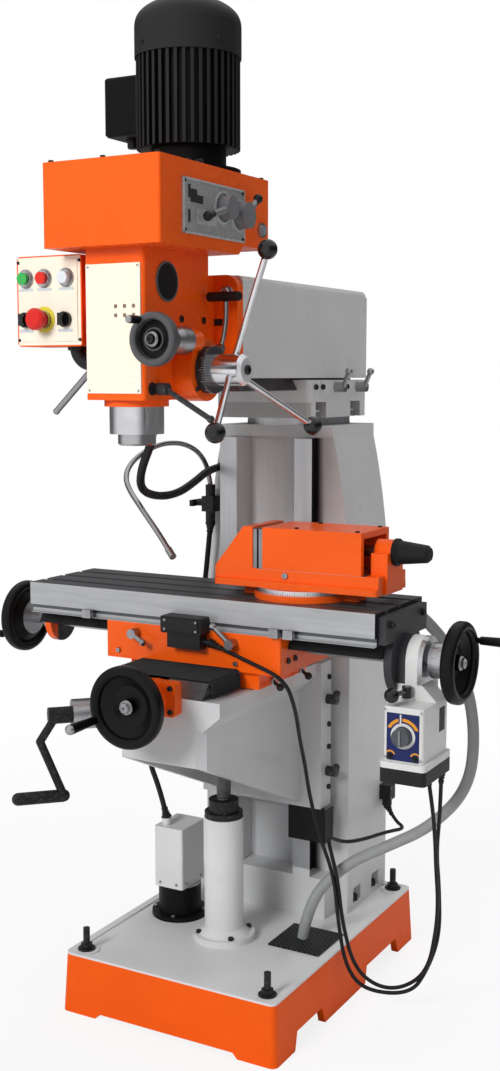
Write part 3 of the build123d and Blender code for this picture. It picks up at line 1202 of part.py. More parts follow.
def motor_frame():
    """Finned motor with its flange, terminal box and fan cowl."""
    wide, thick = MOTOR_FLANGE
    low = BOX_TOP_Z
    frame = rod_z(wide / 2, 0, 0, (low, low + thick))
    frame += rod_z(MOTOR_NECK_R, 0, 0, (low, MOTOR_LOW_Z))
    frame += along_z(fin_outline(), (MOTOR_LOW_Z, MOTOR_TOP_Z))
    deep, long, tall = TERMINAL
    mid = (MOTOR_LOW_Z + MOTOR_TOP_Z) / 2
    terminal = block((-MOTOR_FIN_R - deep, -MOTOR_R + 8), (-long / 2, long / 2),
                     (mid - tall / 2, mid + tall / 2))
    frame += fillet(terminal.edges().filter_by(Axis.X), 8)
    frame -= rod_z(ROTOR_R + LOOSE, 0, 0, (ROTOR_Z[0] - 10, ROTOR_Z[1] + 10))
    frame -= rod_z(GEAR_SHAFT_R + RUN, 0, 0, (low, MOTOR_TOP_Z - 7))
    top = COWL_Z + COWL_H
    start, end = (COWL_R, top - COWL_DOME), (COWL_TOP_R, top)
    bow = (COWL_TOP_R + (COWL_R - COWL_TOP_R) * sin(pi / 4), top - COWL_DOME * (1 - sin(pi / 4)))
    outline = [Line((0, COWL_Z), (COWL_R, COWL_Z)), Line((COWL_R, COWL_Z), start)]
    outline.append(Spline(start, bow, end, tangents=((0, 1), (-1, 0))))
    outline += [Line(end, (0, top)), Line((0, top), (0, COWL_Z))]
    cowl = revolve(Plane.XZ * make_face(outline), Axis.Z)
    cowl -= rod_z(MOTOR_FIN_R + SLIDE, 0, 0, (COWL_Z, MOTOR_TOP_Z))
    cowl -= rod_z(MOTOR_R - 4, 0, 0, (MOTOR_TOP_Z, top - COWL_DOME))
    return Pos(0, MOTOR_Y, 0) * group(frame, cowl)


def head_plates():
    """Front plate, round plate, speed plate and oil sight of the head."""
    wide, tall = FRONT_PLATE
    y = (HEAD_FRONT - PLATE_T, HEAD_FRONT)
    front = block((-wide / 2, wide / 2), y, (FRONT_PLATE_Z - tall / 2, FRONT_PLATE_Z + tall / 2))
    badge = rod_x(BADGE_R, (HEAD_HALF, HEAD_HALF + PLATE_T), BADGE_Y, BADGE_Z)
    speed = block((BOX_HALF, BOX_HALF + PLATE_T), SPEED_PLATE_Y, SPEED_PLATE_Z)
    sight = rod_x(OIL_SIGHT_R + 4, (BOX_HALF, BOX_HALF + 5), *OIL_SIGHT)
    sight += rod_x(OIL_SIGHT_R, (BOX_HALF, BOX_HALF + 8), *OIL_SIGHT)
    return group(front, badge, speed, sight)


def feed_hub():
    """Quill feed: rack pinion, shaft, dial and hub with three levers and ball knobs."""
    half = RACK_W / 2 - 1
    pinion = Rot(0, 90, 0) * gear(PINION_TEETH, 2 * half, 0)
    hub = Pos(-half, FEED_Y, FEED_Z) * Rot(-90, 0, 0) * pinion
    hub += rod_x(FEED_SHAFT_R, (1 - FEED_SHAFT_END, DIAL_X[1]), FEED_Y, FEED_Z)
    hub += rod_x(DIAL_R, DIAL_X, FEED_Y, FEED_Z)
    end = rod_x(HUB_R, (DIAL_X[1], HUB_END_X), FEED_Y, FEED_Z)
    hub += chamfer(end.edges().filter_by(GeomType.CIRCLE).group_by(Axis.X)[-1], 7)
    for i in range(LEVER_COUNT):
        angle = radians(90.0 + 360.0 * i / LEVER_COUNT)
        y, z = cos(angle), sin(angle)
        tip = (LEVER_X + LEVER_LEAN, FEED_Y + LEVER_REACH * y, FEED_Z + LEVER_REACH * z)
        hub += bar_between(LEVER_R, (LEVER_X, FEED_Y + HUB_R / 2 * y, FEED_Z + HUB_R / 2 * z), tip)
        hub += ball(BALL_R, tip)
    return hub


def fine_feed_wheel():
    """Fine feed handwheel with its round rim, recessed web and grip, the tapered dial and the worm shaft."""
    face = WORM_BOSS_FRONT - SLIDE
    shaft = rod_y(WORM_R, WORM_X, (FINE_WHEEL_Y, WORM_BOSS_REAR - 6), WORM_Z)
    middle = FINE_RIM_W / 2
    rim = Pos(FINE_WHEEL_R - FINE_RIM / 2, middle) * RectangleRounded(FINE_RIM, FINE_RIM_W, FINE_RIM * 0.48)
    wheel = revolve(Plane.XZ * rim, Axis.Z)
    inner = FINE_WHEEL_R - FINE_RIM * 0.8
    web = [(0, 0), (inner, 0), (inner, 7), (FINE_HUB_R + 6, 7), (FINE_HUB_R + 6, 13), (FINE_HUB_R, 13)]
    web += [(FINE_HUB_R, FINE_RIM_W - 3), (FINE_HUB_R - 3, FINE_RIM_W), (0, FINE_RIM_W)]
    wheel += revolve(Plane.XZ * Polygon(*web, align=None), Axis.Z)
    reach = FINE_WHEEL_R - FINE_RIM / 2
    wheel += rod_z(FINE_GRIP_R * 0.55, reach, 0, (FINE_RIM_W - 3, FINE_RIM_W + 4))
    wheel += rod_z(FINE_GRIP_R, reach, 0, (FINE_RIM_W + 4, FINE_RIM_W + 4 + FINE_GRIP_L))
    wheel += ball(FINE_GRIP_R, (reach, 0, FINE_RIM_W + 4 + FINE_GRIP_L))
    wheel = Pos(WORM_X, FINE_WHEEL_Y, WORM_Z) * Rot(90, 0, 0) * Rot(0, 0, FINE_GRIP_TURN) * wheel
    end = face - FINE_WHEEL_Y
    back = end - FINE_DIAL_L
    dial = [(0, 0), (FINE_HUB_R, 0), (FINE_HUB_R, back), (FINE_DIAL_R - 4, back)]
    dial += [(FINE_DIAL_R, back + 16), (FINE_DIAL_R, end), (0, end)]
    dial = revolve(Plane.XZ * Polygon(*dial, align=None), Axis.Z)
    return shaft + wheel + Pos(WORM_X, FINE_WHEEL_Y, WORM_Z) * Rot(-90, 0, 0) * dial


def clutch_lever():
    """Lever on the feed bulge that joins the fine feed to the quill."""
    y, z = CLUTCH
    lever = rod_x(8, (BULGE_X, BULGE_X + 13), y, z)
    x = BULGE_X + 7
    reach, rise = CLUTCH_ARM
    top = (x, y + reach, z + rise)
    arm = ThreePointArc((x, y, z), (x, y + reach * 0.5 + 10, z + rise * 0.5), top)
    lever += sweep(Plane(origin=arm @ 0, z_dir=arm % 0) * Circle(4.5), path=arm)
    grip = rod_x(CLUTCH_GRIP_R, (x - CLUTCH_GRIP_L * 0.54, x + CLUTCH_GRIP_L * 0.46), top[1], top[2])
    return lever + fillet(grip.edges().filter_by(GeomType.CIRCLE), 3)


def quill_lock_lever():
    """Rod lever on the head's left side that locks the quill."""
    y, z = QUILL_LOCK
    return clamp_lever((-HEAD_HALF, y, z), (-1, 0, 0), (12, 26), (-HEAD_HALF - 110, y, z - 85), 6, 6.5)


def quill_clamp_lever():
    """Bar lever on the head's lower right that clamps the quill's sleeve."""
    y, z = QUILL_CLAMP
    return clamp_lever((HEAD_HALF, y, z), (1, 0, 0), (11, 22), (HEAD_HALF + 118, y - 14, z - 52), 5, 7)


def speed_lever(place, radius, arm):
    """Speed selector lever on the gearbox's right side."""
    y, z = place
    x = BOX_HALF + PLATE_T
    end = (x + 20, y + arm[0], z + arm[1])
    return clamp_lever((x, y, z), (1, 0, 0), (radius, 24), end, 6, 9)


def control_box():
    """Control box beside the head with the arm that carries it."""
    y = (PANEL_FRONT, PANEL_FRONT + PANEL_DEPTH)
    box = block(PANEL_X, y, PANEL_Z)
    box = fillet(box.edges().filter_by(Axis.Y), 8)
    box += block((PANEL_X[1] - 2, -HEAD_HALF), (y[0] + 20, y[1] - 14), (PANEL_Z[0] + 55, PANEL_Z[1] - 50))
    return box + rod_z(11, PANEL_X[1] - 22, y[1] - 30, (PANEL_Z[0] - 22, PANEL_Z[0] + 2))


def panel_face():
    return PANEL_FRONT - PANEL_PLATE_T


def control_panel():
    """Front plate of the control box with its signal lamp."""
    rim = 9.0
    plate = block((PANEL_X[0] + rim, PANEL_X[1] - rim), (panel_face(), PANEL_FRONT),
                  (PANEL_Z[0] + rim, PANEL_Z[1] - rim))
    lamp = rod_y(BUTTON_R + 3, LAMP_X, (panel_face() - 5, panel_face()), BUTTON_ROW_Z)
    plate += lamp + rod_y(BUTTON_R, LAMP_X, (panel_face() - 14, panel_face()), BUTTON_ROW_Z)
    seats = [(START_X, BUTTON_ROW_Z, BUTTON_R), (STOP_X, BUTTON_ROW_Z, BUTTON_R)]
    seats.append((ESTOP_X, SWITCH_ROW_Z, ESTOP_R * 0.6))
    for x, z, radius in seats:
        deep = (panel_face() - COLLAR_H, panel_face())
        plate += rod_y(radius + 3.5, x, deep, z) - rod_y(radius + RUN, x, deep, z)
    return plate


def push_button(x, radius, z, proud):
    """Push button in its collar, standing off the plate by its travel."""
    face = panel_face()
    return rod_y(radius, x, (face - proud, face - BUTTON_TRAVEL), z)


def emergency_stop():
    face = panel_face()
    stem = rod_y(ESTOP_R * 0.6, ESTOP_X, (face - 22, face - BUTTON_TRAVEL), SWITCH_ROW_Z)
    head = rod_y(ESTOP_R, ESTOP_X, (face - 36, face - 22), SWITCH_ROW_Z)
    return stem + chamfer(head.edges().filter_by(GeomType.CIRCLE).group_by(Axis.Y)[0], 5)


def selector(x):
    """Selector switch with its raised bar."""
    face = panel_face()
    knob = rod_y(BUTTON_R + 3, x, (face - 7, face), SWITCH_ROW_Z)
    return knob + block((x - 5, x + 5), (face - 19, face),
                        (SWITCH_ROW_Z - BUTTON_R, SWITCH_ROW_Z + BUTTON_R))


def knee_lock(z):
    """Lock lever on the knee's right side, clamping it to the column."""
    y = WAY_FRONT + 12
    end = (KNEE_FLANGE_HALF + 44, y - 46, z + 26)
    return clamp_lever((KNEE_FLANGE_HALF, y, z), (1, 0, 0), (11, 24), end, 5, 8)


def table_lock(x, arm):
    """Lock lever on the saddle's front, clamping the table."""
    z = TABLE_LOW_Z - TABLE_LOCK_DROP
    end = (x + arm[0], SADDLE_FRONT - 24, z + arm[1])
    return clamp_lever((x, SADDLE_FRONT, z), (0, -1, 0), (10, 22), end, 4.5, 7)


def machine_cords():
    """Switch cord from the saddle to the power feed, and supply cord from the power feed to the column."""
    limit = tube("limit cord", CORD_D, LIMIT_CORD) - limit_switch() - power_feed()
    supply = tube("supply cord", CORD_D, SUPPLY_CORD) - cable_gland() - power_feed()
    return group(limit, supply)


def drain_hose():
    """Hose that returns coolant from the table's rear to the screen in the tray."""
    return tube("drain hose", DRAIN_HOSE_D, DRAIN_HOSE) - table() - drain_screen()


def conduit():
    """Wiring conduit from the head's left side to the column."""
    return tube("conduit", CONDUIT_D, CONDUIT) - head_casting() - column_casting()


def pump_hose():
    """Hose from the coolant pump up to the valve."""
    return tube("pump hose", PUMP_HOSE_D, PUMP_HOSE) - coolant_pump() - coolant_valve()


NODES = {
    "base_casting": base_casting,
    "levelling_bolts": levelling_bolts,
    "column_casting": column_casting,
    "elevating_post": elevating_post,
    "coolant_pump": coolant_pump,
    "coolant_fittings": coolant_fittings,
    "cable_gland": cable_gland,
    "turret_saddle": turret_saddle,
    "ram_lock_front": lambda: ram_lock(RAM_LOCK_Y[0]),
    "ram_lock_rear": lambda: ram_lock(RAM_LOCK_Y[1]),
    "ram_casting": ram_casting,
    "head_casting": head_casting,
    "gearbox_case": gearbox_case,
    "motor_frame": motor_frame,
    "head_plates": head_plates,
    "control_box": control_box,
    "control_panel": control_panel,
    "quill": quill,
    "spindle": spindle,
    "spindle_gear": spindle_gear,
    "counter_gear": counter_gear,
    "motor_rotor": motor_rotor,
    "feed_hub": feed_hub,
    "fine_feed_wheel": fine_feed_wheel,
    "clutch_lever": clutch_lever,
    "quill_lock_lever": quill_lock_lever,
    "quill_clamp_lever": quill_clamp_lever,
    "speed_lever_front": lambda: speed_lever(SPEED_A, SPEED_HUBS_R[0], SPEED_ARMS[0]),
    "speed_lever_rear": lambda: speed_lever(SPEED_B, SPEED_HUBS_R[1], SPEED_ARMS[1]),
    "start_button": lambda: push_button(START_X, BUTTON_R, BUTTON_ROW_Z, BUTTON_PROUD),
    "stop_button": lambda: push_button(STOP_X, BUTTON_R, BUTTON_ROW_Z, BUTTON_PROUD),
    "emergency_stop": emergency_stop,
    "selector_left": lambda: selector(SELECTORS_X[0]),
    "selector_right": lambda: selector(SELECTORS_X[1]),
    "knee_casting": knee_casting,
    "way_cover": way_cover,
    "knee_bearings": knee_bearings,
    "knee_lock_upper": lambda: knee_lock(KNEE_LOCKS_Z[0]),
    "knee_lock_lower": lambda: knee_lock(KNEE_LOCKS_Z[1]),
    "elevating_crank": elevating_crank,
    "elevating_screw": elevating_screw,
    "cross_screw": cross_screw,
    "saddle_casting": saddle_casting,
    "limit_switch": limit_switch,
    "table_lock_left": lambda: table_lock(TABLE_LOCKS_X[0], TABLE_LOCK_ARMS[0]),
    "table_lock_right": lambda: table_lock(TABLE_LOCKS_X[1], TABLE_LOCK_ARMS[1]),
    "table": table,
    "table_fittings": table_fittings,
    "table_screw": table_screw,
    "power_feed": power_feed,
    "feed_lever": feed_lever,
    "feed_knob": feed_knob,
    "vise_base": vise_base,
    "vise_body": vise_body,
    "vise_jaw": vise_jaw,
    "vise_screw": vise_screw,
    "machine_cords": machine_cords,
    "drain_hose": drain_hose,
    "conduit": conduit,
    "pump_hose": pump_hose,
}

os.makedirs("parts", exist_ok=True)
for name, build in NODES.items():
    export_step(build(), f"parts/{name}.step")
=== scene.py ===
"""Knee-type mill drill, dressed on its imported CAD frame, in the order in which the machine is put together."""

import itertools
import math

import bmesh
import bpy
from mathutils import Matrix, Vector


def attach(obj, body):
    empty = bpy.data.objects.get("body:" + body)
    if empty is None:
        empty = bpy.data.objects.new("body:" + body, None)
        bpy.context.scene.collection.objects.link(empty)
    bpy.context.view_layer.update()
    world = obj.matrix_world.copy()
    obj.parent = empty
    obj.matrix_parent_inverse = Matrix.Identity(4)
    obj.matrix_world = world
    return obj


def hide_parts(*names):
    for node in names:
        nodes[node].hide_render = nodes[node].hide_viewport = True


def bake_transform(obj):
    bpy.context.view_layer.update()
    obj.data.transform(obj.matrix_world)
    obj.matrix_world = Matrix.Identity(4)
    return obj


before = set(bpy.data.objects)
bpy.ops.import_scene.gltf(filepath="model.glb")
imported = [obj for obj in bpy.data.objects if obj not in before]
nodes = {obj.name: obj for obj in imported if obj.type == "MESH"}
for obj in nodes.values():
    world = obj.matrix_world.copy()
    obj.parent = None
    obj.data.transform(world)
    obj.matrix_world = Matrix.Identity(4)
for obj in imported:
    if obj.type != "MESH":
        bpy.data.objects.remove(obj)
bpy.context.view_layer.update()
scene = bpy.context.scene
scene.view_settings.view_transform = "Standard"
UP, DOWN, RIGHT, LEFT, FRONT, REAR = (0, 0, 1), (0, 0, -1), (1, 0, 0), (-1, 0, 0), (0, -1, 0), (0, 1, 0)


# The studio: a pale floor under the machine, a soft lamp high in front of it, weaker ones on the right, above and
# behind, and a white surround. The camera stands to the front and right, a little above the machine's table.
FILM_LONG_SIDE = 36.0
PHOTO_HEIGHT, FOCAL_PIXELS = 1071, 1321.57
CAMERA_AT = (1.36523, -2.44094, 1.31012)
CAMERA_TURN, CAMERA_DIP = math.radians(29.14), math.radians(6.86)
FLOOR_HALF = 30
SCREEN_TURN = math.pi / 2 + math.radians(103)


def in_scene(name, data):
    """New object that holds the data, linked to the scene."""
    holder = bpy.data.objects.new(name, data)
    scene.collection.objects.link(holder)
    return holder


def facing(direction):
    return Vector(direction).to_track_quat("-Z", "Y").to_euler()


camera_data = bpy.data.cameras.new("camera")
camera_data.sensor_width = FILM_LONG_SIDE
camera_data.lens = FOCAL_PIXELS / PHOTO_HEIGHT * FILM_LONG_SIDE
camera = in_scene("camera", camera_data)
camera.location = CAMERA_AT
level = math.cos(CAMERA_DIP)
camera.rotation_euler = facing((-math.sin(CAMERA_TURN) * level, math.cos(CAMERA_TURN) * level, -math.sin(CAMERA_DIP)))
scene.camera = camera


def soft_lamp(name, place, aim_z, size, watts):
    """Round lamp that looks at a point above the floor's middle, and that no bright surface mirrors."""
    lamp = bpy.data.lights.new(name, "AREA")
    lamp.shape = "DISK"
    lamp.size = size
    lamp.energy = watts
    holder = in_scene(name, lamp)
    holder.location = place
    holder.visible_glossy = False
    holder.rotation_euler = facing(Vector((0, 0, aim_z)) - Vector(place))


soft_lamp("key_lamp", (-0.5, -4.2, 2.9), 0.9, 1.6, 135)
soft_lamp("fill_lamp", (3.6, -0.9, 1.9), 0.9, 2.2, 9)
soft_lamp("top_lamp", (0.0, -0.6, 4.3), 1.0, 2.2, 20)
soft_lamp("back_lamp", (0.4, 3.6, 2.6), 1.0, 2.4, 70)


def sign(operation):
    """Method for an arithmetic sign between a value and a number or another value."""
    return lambda value, other: value.math(operation, value, other)


class Value:
    """A number that changes over a surface or a mesh: arithmetic on it adds Math nodes to its tree."""

    def __init__(self, tree, socket):
        self.tree = tree
        self.socket = socket

    def math(self, operation, *terms):
        node = self.tree.node("ShaderNodeMath", {"operation": operation}, *terms)
        return Value(self.tree, node.outputs[0])

    __add__ = __radd__ = sign("ADD")
    __sub__ = sign("SUBTRACT")
    __mul__ = __rmul__ = sign("MULTIPLY")
    __mod__ = sign("FLOORED_MODULO")
    __pow__ = sign("POWER")

    def __rsub__(self, other):
        return self.math("SUBTRACT", other, self)

    def wave(self, pitch):
        """Sine that repeats at a pitch in metres."""
        scaled = self * (2 * math.pi / pitch)
        return scaled.math("SINE", scaled)

    def over(self, edge, soft=0.0004):
        """0 below the edge and 1 above it, over a soft band."""
        sockets = {"Value": self, "From Min": edge - soft, "From Max": edge + soft}
        node = self.tree.node("ShaderNodeMapRange", {"interpolation_type": "SMOOTHSTEP"}, **sockets)
        return Value(self.tree, node.outputs[0])

    def under(self, edge, soft=0.0004):
        return 1 - self.over(edge, soft)

    def between(self, low, high, soft=0.0004):
        return self.over(low, soft) * self.under(high, soft)


class Tree:
    """A node tree in the making: one method adds any node, by its type, its settings and its sockets."""

    def __init__(self, tree, family="ShaderNode"):
        self.tree = tree
        self.family = family
        tree.nodes.clear()

    def node(self, kind, settings=None, *inputs, **named):
        node = self.tree.nodes.new(kind if "Node" in kind else self.family + kind)
        for key, value in (settings or {}).items():
            setattr(node, key, value)
        for socket, value in list(zip(node.inputs, inputs)) + [(node.inputs[k], v) for k, v in named.items()]:
            value = value.socket if isinstance(value, Value) else value
            if isinstance(value, bpy.types.NodeSocket):
                self.tree.links.new(value, socket)
            elif value is not None:
                socket.default_value = value
        return node


class Finish(Tree):
    """A material in the making: surfaces are laid over one another, by the surface's own coordinates and noises."""

    def __init__(self, name):
        self.material = bpy.data.materials.new(name)
        self.material.use_nodes = True
        super().__init__(self.material.node_tree)
        self.place = self.node("TexCoord").outputs["Object"]
        self.x, self.y, self.z = (Value(self, s) for s in self.node("SeparateXYZ", None, self.place).outputs)
        self.shader = None

    def noise(self, scale, detail=3.0, stretch=None):
        place = self.place
        if stretch:
            place = self.node("Mapping", None, place, Scale=stretch).outputs[0]
        node = self.node("TexNoise", None, Vector=place, Scale=scale, Detail=detail)
        return Value(self, node.outputs["Fac"])

    def off(self, plane, centre):
        """Distance from an axis, in the two coordinates across it, such as "xy"."""
        across, along = (getattr(self, letter) - place for letter, place in zip(plane, centre))
        return (across * across + along * along) ** 0.5

    def mix(self, share, first, second):
        """Colour between two colours or colour sockets."""
        node = self.node("Mix", {"data_type": "RGBA"}, share)
        for name, colour in (("A_Color", first), ("B_Color", second)):
            socket = next(s for s in node.inputs if s.identifier == name)
            if isinstance(colour, bpy.types.NodeSocket):
                self.tree.links.new(colour, socket)
            else:
                socket.default_value = colour
        return next(s for s in node.outputs if s.identifier == "Result_Color")

    def lay(self, shader, where=None):
        """Puts a shader over those laid before it, where the share is 1."""
        self.shader = shader if where is None else self.node("MixShader", None, where, self.shader, shader).outputs[0]
        return self

    def surface(self, colour, roughness, metallic=0.0, bump=None, depth=0.0004, coat=0.0, gloss=0.3, where=None):
        sockets = {"Base Color": colour, "Roughness": roughness, "Metallic": metallic, "Coat Weight": coat,
                   "Specular IOR Level": gloss}
        if bump is not None:
            sockets["Normal"] = self.node("Bump", None, Distance=depth, Height=bump, Strength=0.6).outputs[0]
        return self.lay(self.node("BsdfPrincipled", None, **sockets).outputs[0], where)

    def mottled(self, share, first, second, rough, spread, *rest, sheen=None, **more):
        """Surface between two colours by one share, with a roughness that follows the same share or another."""
        return self.surface(self.mix(share, first, second), rough + spread * (sheen or share),
                            *rest, **more)

    def done(self):
        self.node("OutputMaterial", None, self.shader)
        return self.material

    def wear(self, *names):
        """Closes the material and gives it to CAD nodes."""
        material = self.done()
        for name in names:
            nodes[name].data.materials.clear()
            nodes[name].data.materials.append(material)
        return material


def screen_at(across, along):
    """Bright share of the studio in a level direction: the big screen on the left, dark flags elsewhere."""
    return (along.math("ARCTAN2", along, across) + SCREEN_TURN).wave(2 * math.pi).over(0.5, 0.3)


world = bpy.data.worlds.new("surround")
scene.world = world
world.use_nodes = True
sky = Tree(world.node_tree)
rays = sky.node("LightPath").outputs
east, north, height = (Value(sky, socket) for socket in sky.node(
    "SeparateXYZ", None, sky.node("TexCoord").outputs["Generated"]).outputs)
screen = screen_at(east, north)
flags = screen.math("MAXIMUM", screen, height.over(0.5, 0.25)) * 0.92 + 0.08
white, mirrored, plain = (sky.node("Background", None, (1, 1, 1, 1), strength).outputs[0]
                          for strength in (1.0, flags, 0.3))
lit = sky.node("MixShader", None, rays["Is Glossy Ray"], plain, mirrored).outputs[0]
through = Value(sky, rays["Is Camera Ray"]).math("MAXIMUM", rays["Is Camera Ray"], rays["Is Transmission Ray"])
sky.node("OutputWorld", None, sky.node("MixShader", None, through, lit, white).outputs[0])

floor_mesh = bpy.data.meshes.new("floor")
corners = [(x * FLOOR_HALF, y * FLOOR_HALF, 0) for x, y in ((-1, -1), (1, -1), (1, 1), (-1, 1))]
floor_mesh.from_pydata(corners, [], [(0, 1, 2, 3)])
floor = in_scene("floor", floor_mesh)
skin = Finish("studio_floor")
away = skin.off("xy", (0.0, 0.0))
seen = skin.node("LightPath").outputs
mirror_share = Value(skin, seen["Is Glossy Ray"]) * away.over(3.0, 1.5) * screen_at(skin.x, skin.y)
glow_share = Value(skin, seen["Is Camera Ray"]) * (1 - 0.16 * away.under(1.6, 1.0)) + mirror_share
skin.lay(skin.node("BsdfDiffuse", None, Color=(0.86, 0.86, 0.86, 1)).outputs[0])
skin.lay(skin.node("Emission", None, Color=(1, 1, 1, 1), Strength=1.0).outputs[0], glow_share)
floor_mesh.materials.append(skin.done())


# Base: one iron casting with a shallow tray on top and feet cut out between its corners. It is sprayed orange on its
# sides, and its top is brushed with the light grey enamel that the knee has, which the knee shows a little darker as
# painted shade.
def srgb(red, green, blue):
    """Colour as read from a picture, in 0 to 255, for a socket."""
    def linear(part):
        part /= 255.0
        return part / 12.92 if part <= 0.04045 else ((part + 0.055) / 1.055) ** 2.4
    return (linear(red), linear(green), linear(blue), 1.0)


def shade(colour, share):
    """The same colour, darker or lighter by a share."""
    return tuple(min(1.0, share * part) for part in colour[:3]) + (1.0,)


ORANGE = srgb(246, 94, 18)
PALE_GREY = srgb(222, 222, 223)
MID_GREY = srgb(212, 213, 214)
TRAY_Z = 0.1215


def enamel(skin, colour, rough=0.3, coat=0.05, gloss=0.25, where=None):
    """Gloss enamel sprayed on a filled casting: faint waves, fine orange peel and a few dull spots."""
    waves = skin.noise(7.0, 2.0)
    peel = skin.noise(420.0, 2.0) * 0.3 + waves
    return skin.mottled(waves.over(0.5, 0.25), shade(colour, 0.93), colour, rough - 0.07, 0.14, 0.0, peel, 0.0003, coat,
                        gloss, sheen=skin.noise(40.0, 5.0), where=where)


skin = enamel(Finish("base_enamel"), ORANGE, 0.36, 0.0, 0.1)
enamel(skin, PALE_GREY, 0.4, 0.1, where=skin.z.over(TRAY_Z)).wear("base_casting")


# Levelling bolts: four turned steel jacking bolts with washers and lock nuts, blackened in hot oil. They
# stand in the corners of the base and take up an uneven floor.
def blackened(skin, tone=34, where=None):
    """Steel blackened in oil: dark, with rubbed spots where the grey comes through."""
    rub = skin.noise(140.0, 4.0)
    return skin.mottled(rub.over(0.62, 0.1), srgb(tone, tone, tone + 2), srgb(tone + 34, tone + 34, tone + 36), 0.36,
                        0.2, 0.2, skin.noise(800.0), 0.0001, sheen=rub, where=where)


black_bolt = blackened(Finish("blackened_bolts")).wear("levelling_bolts")
BLACK = (black_bolt, "black_iron")


# Elevating post: a grey painted iron tube on a flange that four socket screws hold in the tray. The black nut on
# its top is the one that the lifting screw turns in; the screw is bright, with its thread cut as fine turns.
POST_TOP = 0.3878
POST_AXIS = (0.0, -0.106)
POST_FLANGE_TOP = 0.136
SCREW_PITCH, THREAD_H = 0.005, 0.0012
skin = enamel(Finish("post_enamel"), PALE_GREY)
blackened(skin, where=skin.z.over(POST_TOP)).wear("elevating_post")
skin = Finish("lifting_screw_steel")
oily = skin.noise(50.0, 4.0)
skin.mottled(oily, srgb(150, 150, 152), srgb(84, 82, 78), 0.3, 0.2, 1.0, skin.z.wave(SCREW_PITCH),
             THREAD_H).wear("elevating_screw")


def turned(skin, lines="z", tone=170, rough=0.26, metal=1.0, where=None):
    """Turned or ground steel: tool marks along one coordinate and a faint oily film."""
    marks = (getattr(skin, lines) + skin.noise(300.0) * 0.0004).wave(0.0012)
    return skin.mottled(skin.noise(26.0, 4.0), srgb(tone, tone, tone + 3), srgb(tone - 38, tone - 38, tone - 34), rough,
                        0.16, metal, marks, 0.00002, where=where)


class Shape(Tree):
    """A Geometry Nodes tree in the making, with named inputs for its sizes and its material."""

    def __init__(self, name, **sizes):
        super().__init__(bpy.data.node_groups.new(name, "GeometryNodeTree"), "GeometryNode")
        sockets = self.tree.interface
        sockets.new_socket("Geometry", in_out="OUTPUT", socket_type="NodeSocketGeometry")
        self.keys = {}
        for size, kind in dict({"Geometry": "Geometry", "Material": "Material"}, **sizes).items():
            socket = sockets.new_socket(size, in_out="INPUT", socket_type="NodeSocket" + kind)
            self.keys[size] = socket.identifier
        self.given = self.node("NodeGroupInput").outputs

    def close(self, geometry):
        real = self.node("RealizeInstances", None, geometry).outputs[0]
        painted = self.node("SetMaterial", None, real, Material=self.given["Material"]).outputs[0]
        self.node("NodeGroupOutput", None, painted)


def baked(holder):
    """Plain mesh of an object, as its modifiers or its curve's bevel leave it."""
    bpy.context.view_layer.update()
    return bpy.data.meshes.new_from_object(holder.evaluated_get(bpy.context.evaluated_depsgraph_get()))


def keep(name, mesh, body):
    """Sets a finished mesh in the scene as a piece of one body."""
    piece = in_scene(name, mesh)
    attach(piece, body)


def grow(name, shape, carrier, sizes, body, material, place=None):
    """Piece that a tree grows on a carrier mesh: evaluated, made a plain mesh and set on its body."""
    grown = in_scene(name + "_carrier", carrier)
    modifier = grown.modifiers.new("grow", "NODES")
    modifier.node_group = shape.tree
    for size, value in dict(sizes, Material=material).items():
        modifier[shape.keys[size]] = value
    mesh = baked(grown)
    bpy.data.objects.remove(grown)
    if place:
        mesh.transform(place)
    keep(name, mesh, body)


heads = Shape("screw_heads", Radius="Float", Height="Float", Sides="Int", Socket="Float")
normal = heads.node("ShaderNodeSeparateXYZ", None, heads.node("InputNormal").outputs[0]).outputs
upward = Value(heads, normal[2]).over(0.8, 0.05)
tall = Value(heads, heads.given["Height"])


def extruded(mesh, chosen, by):
    """Outputs of one extrusion of the chosen faces, all together."""
    return heads.node("ExtrudeMesh", None, Mesh=mesh, Selection=chosen, Individual=False,
                      **{"Offset Scale": by}).outputs


def narrowed(made, share):
    return heads.node("ScaleElements", None, Geometry=made["Mesh"], Selection=made["Top"], Scale=share).outputs[0]


shank = heads.node("MeshCylinder", None, Vertices=heads.given["Sides"], Radius=heads.given["Radius"],
                   Depth=tall * 0.8).outputs["Mesh"]
lift = heads.node("ShaderNodeCombineXYZ", None, 0.0, 0.0, tall * 0.4).outputs[0]
shank = heads.node("Transform", None, shank, Translation=lift).outputs[0]
edge = extruded(shank, upward, tall * 0.2)
inset = extruded(narrowed(edge, 0.86), edge["Top"], 0.0)
head = extruded(narrowed(inset, heads.given["Socket"]), inset["Top"], tall * -0.55)["Mesh"]
axis = heads.node("InputNamedAttribute", {"data_type": "FLOAT_VECTOR"}, Name="along").outputs[0]
stand = heads.node("FunctionNodeAlignRotationToVector", {"axis": "Z"}, Vector=axis).outputs[0]
heads.close(heads.node("InstanceOnPoints", None, Points=heads.given["Geometry"], Instance=head,
                       Rotation=stand).outputs[0])


def screws(name, spots, along, radius, height, body, material, slot="bright_steel", sides=14, socket=0.5):
    """Screw heads or nuts on one body, at spots on a face, standing along the face's outward direction."""
    carrier = bpy.data.meshes.new(name)
    carrier.from_pydata(spots, [], [])
    for item in carrier.attributes.new("along", "FLOAT_VECTOR", "POINT").data:
        item.vector = along
    sizes = {"Radius": radius, "Height": height, "Sides": sides, "Socket": socket}
    grow(name, heads, carrier, sizes, body, material)


def ring(centre, radius, angles):
    """Points round a centre, in two coordinates."""
    return [(centre[0] + radius * math.cos(a), centre[1] + radius * math.sin(a)) for a in angles]


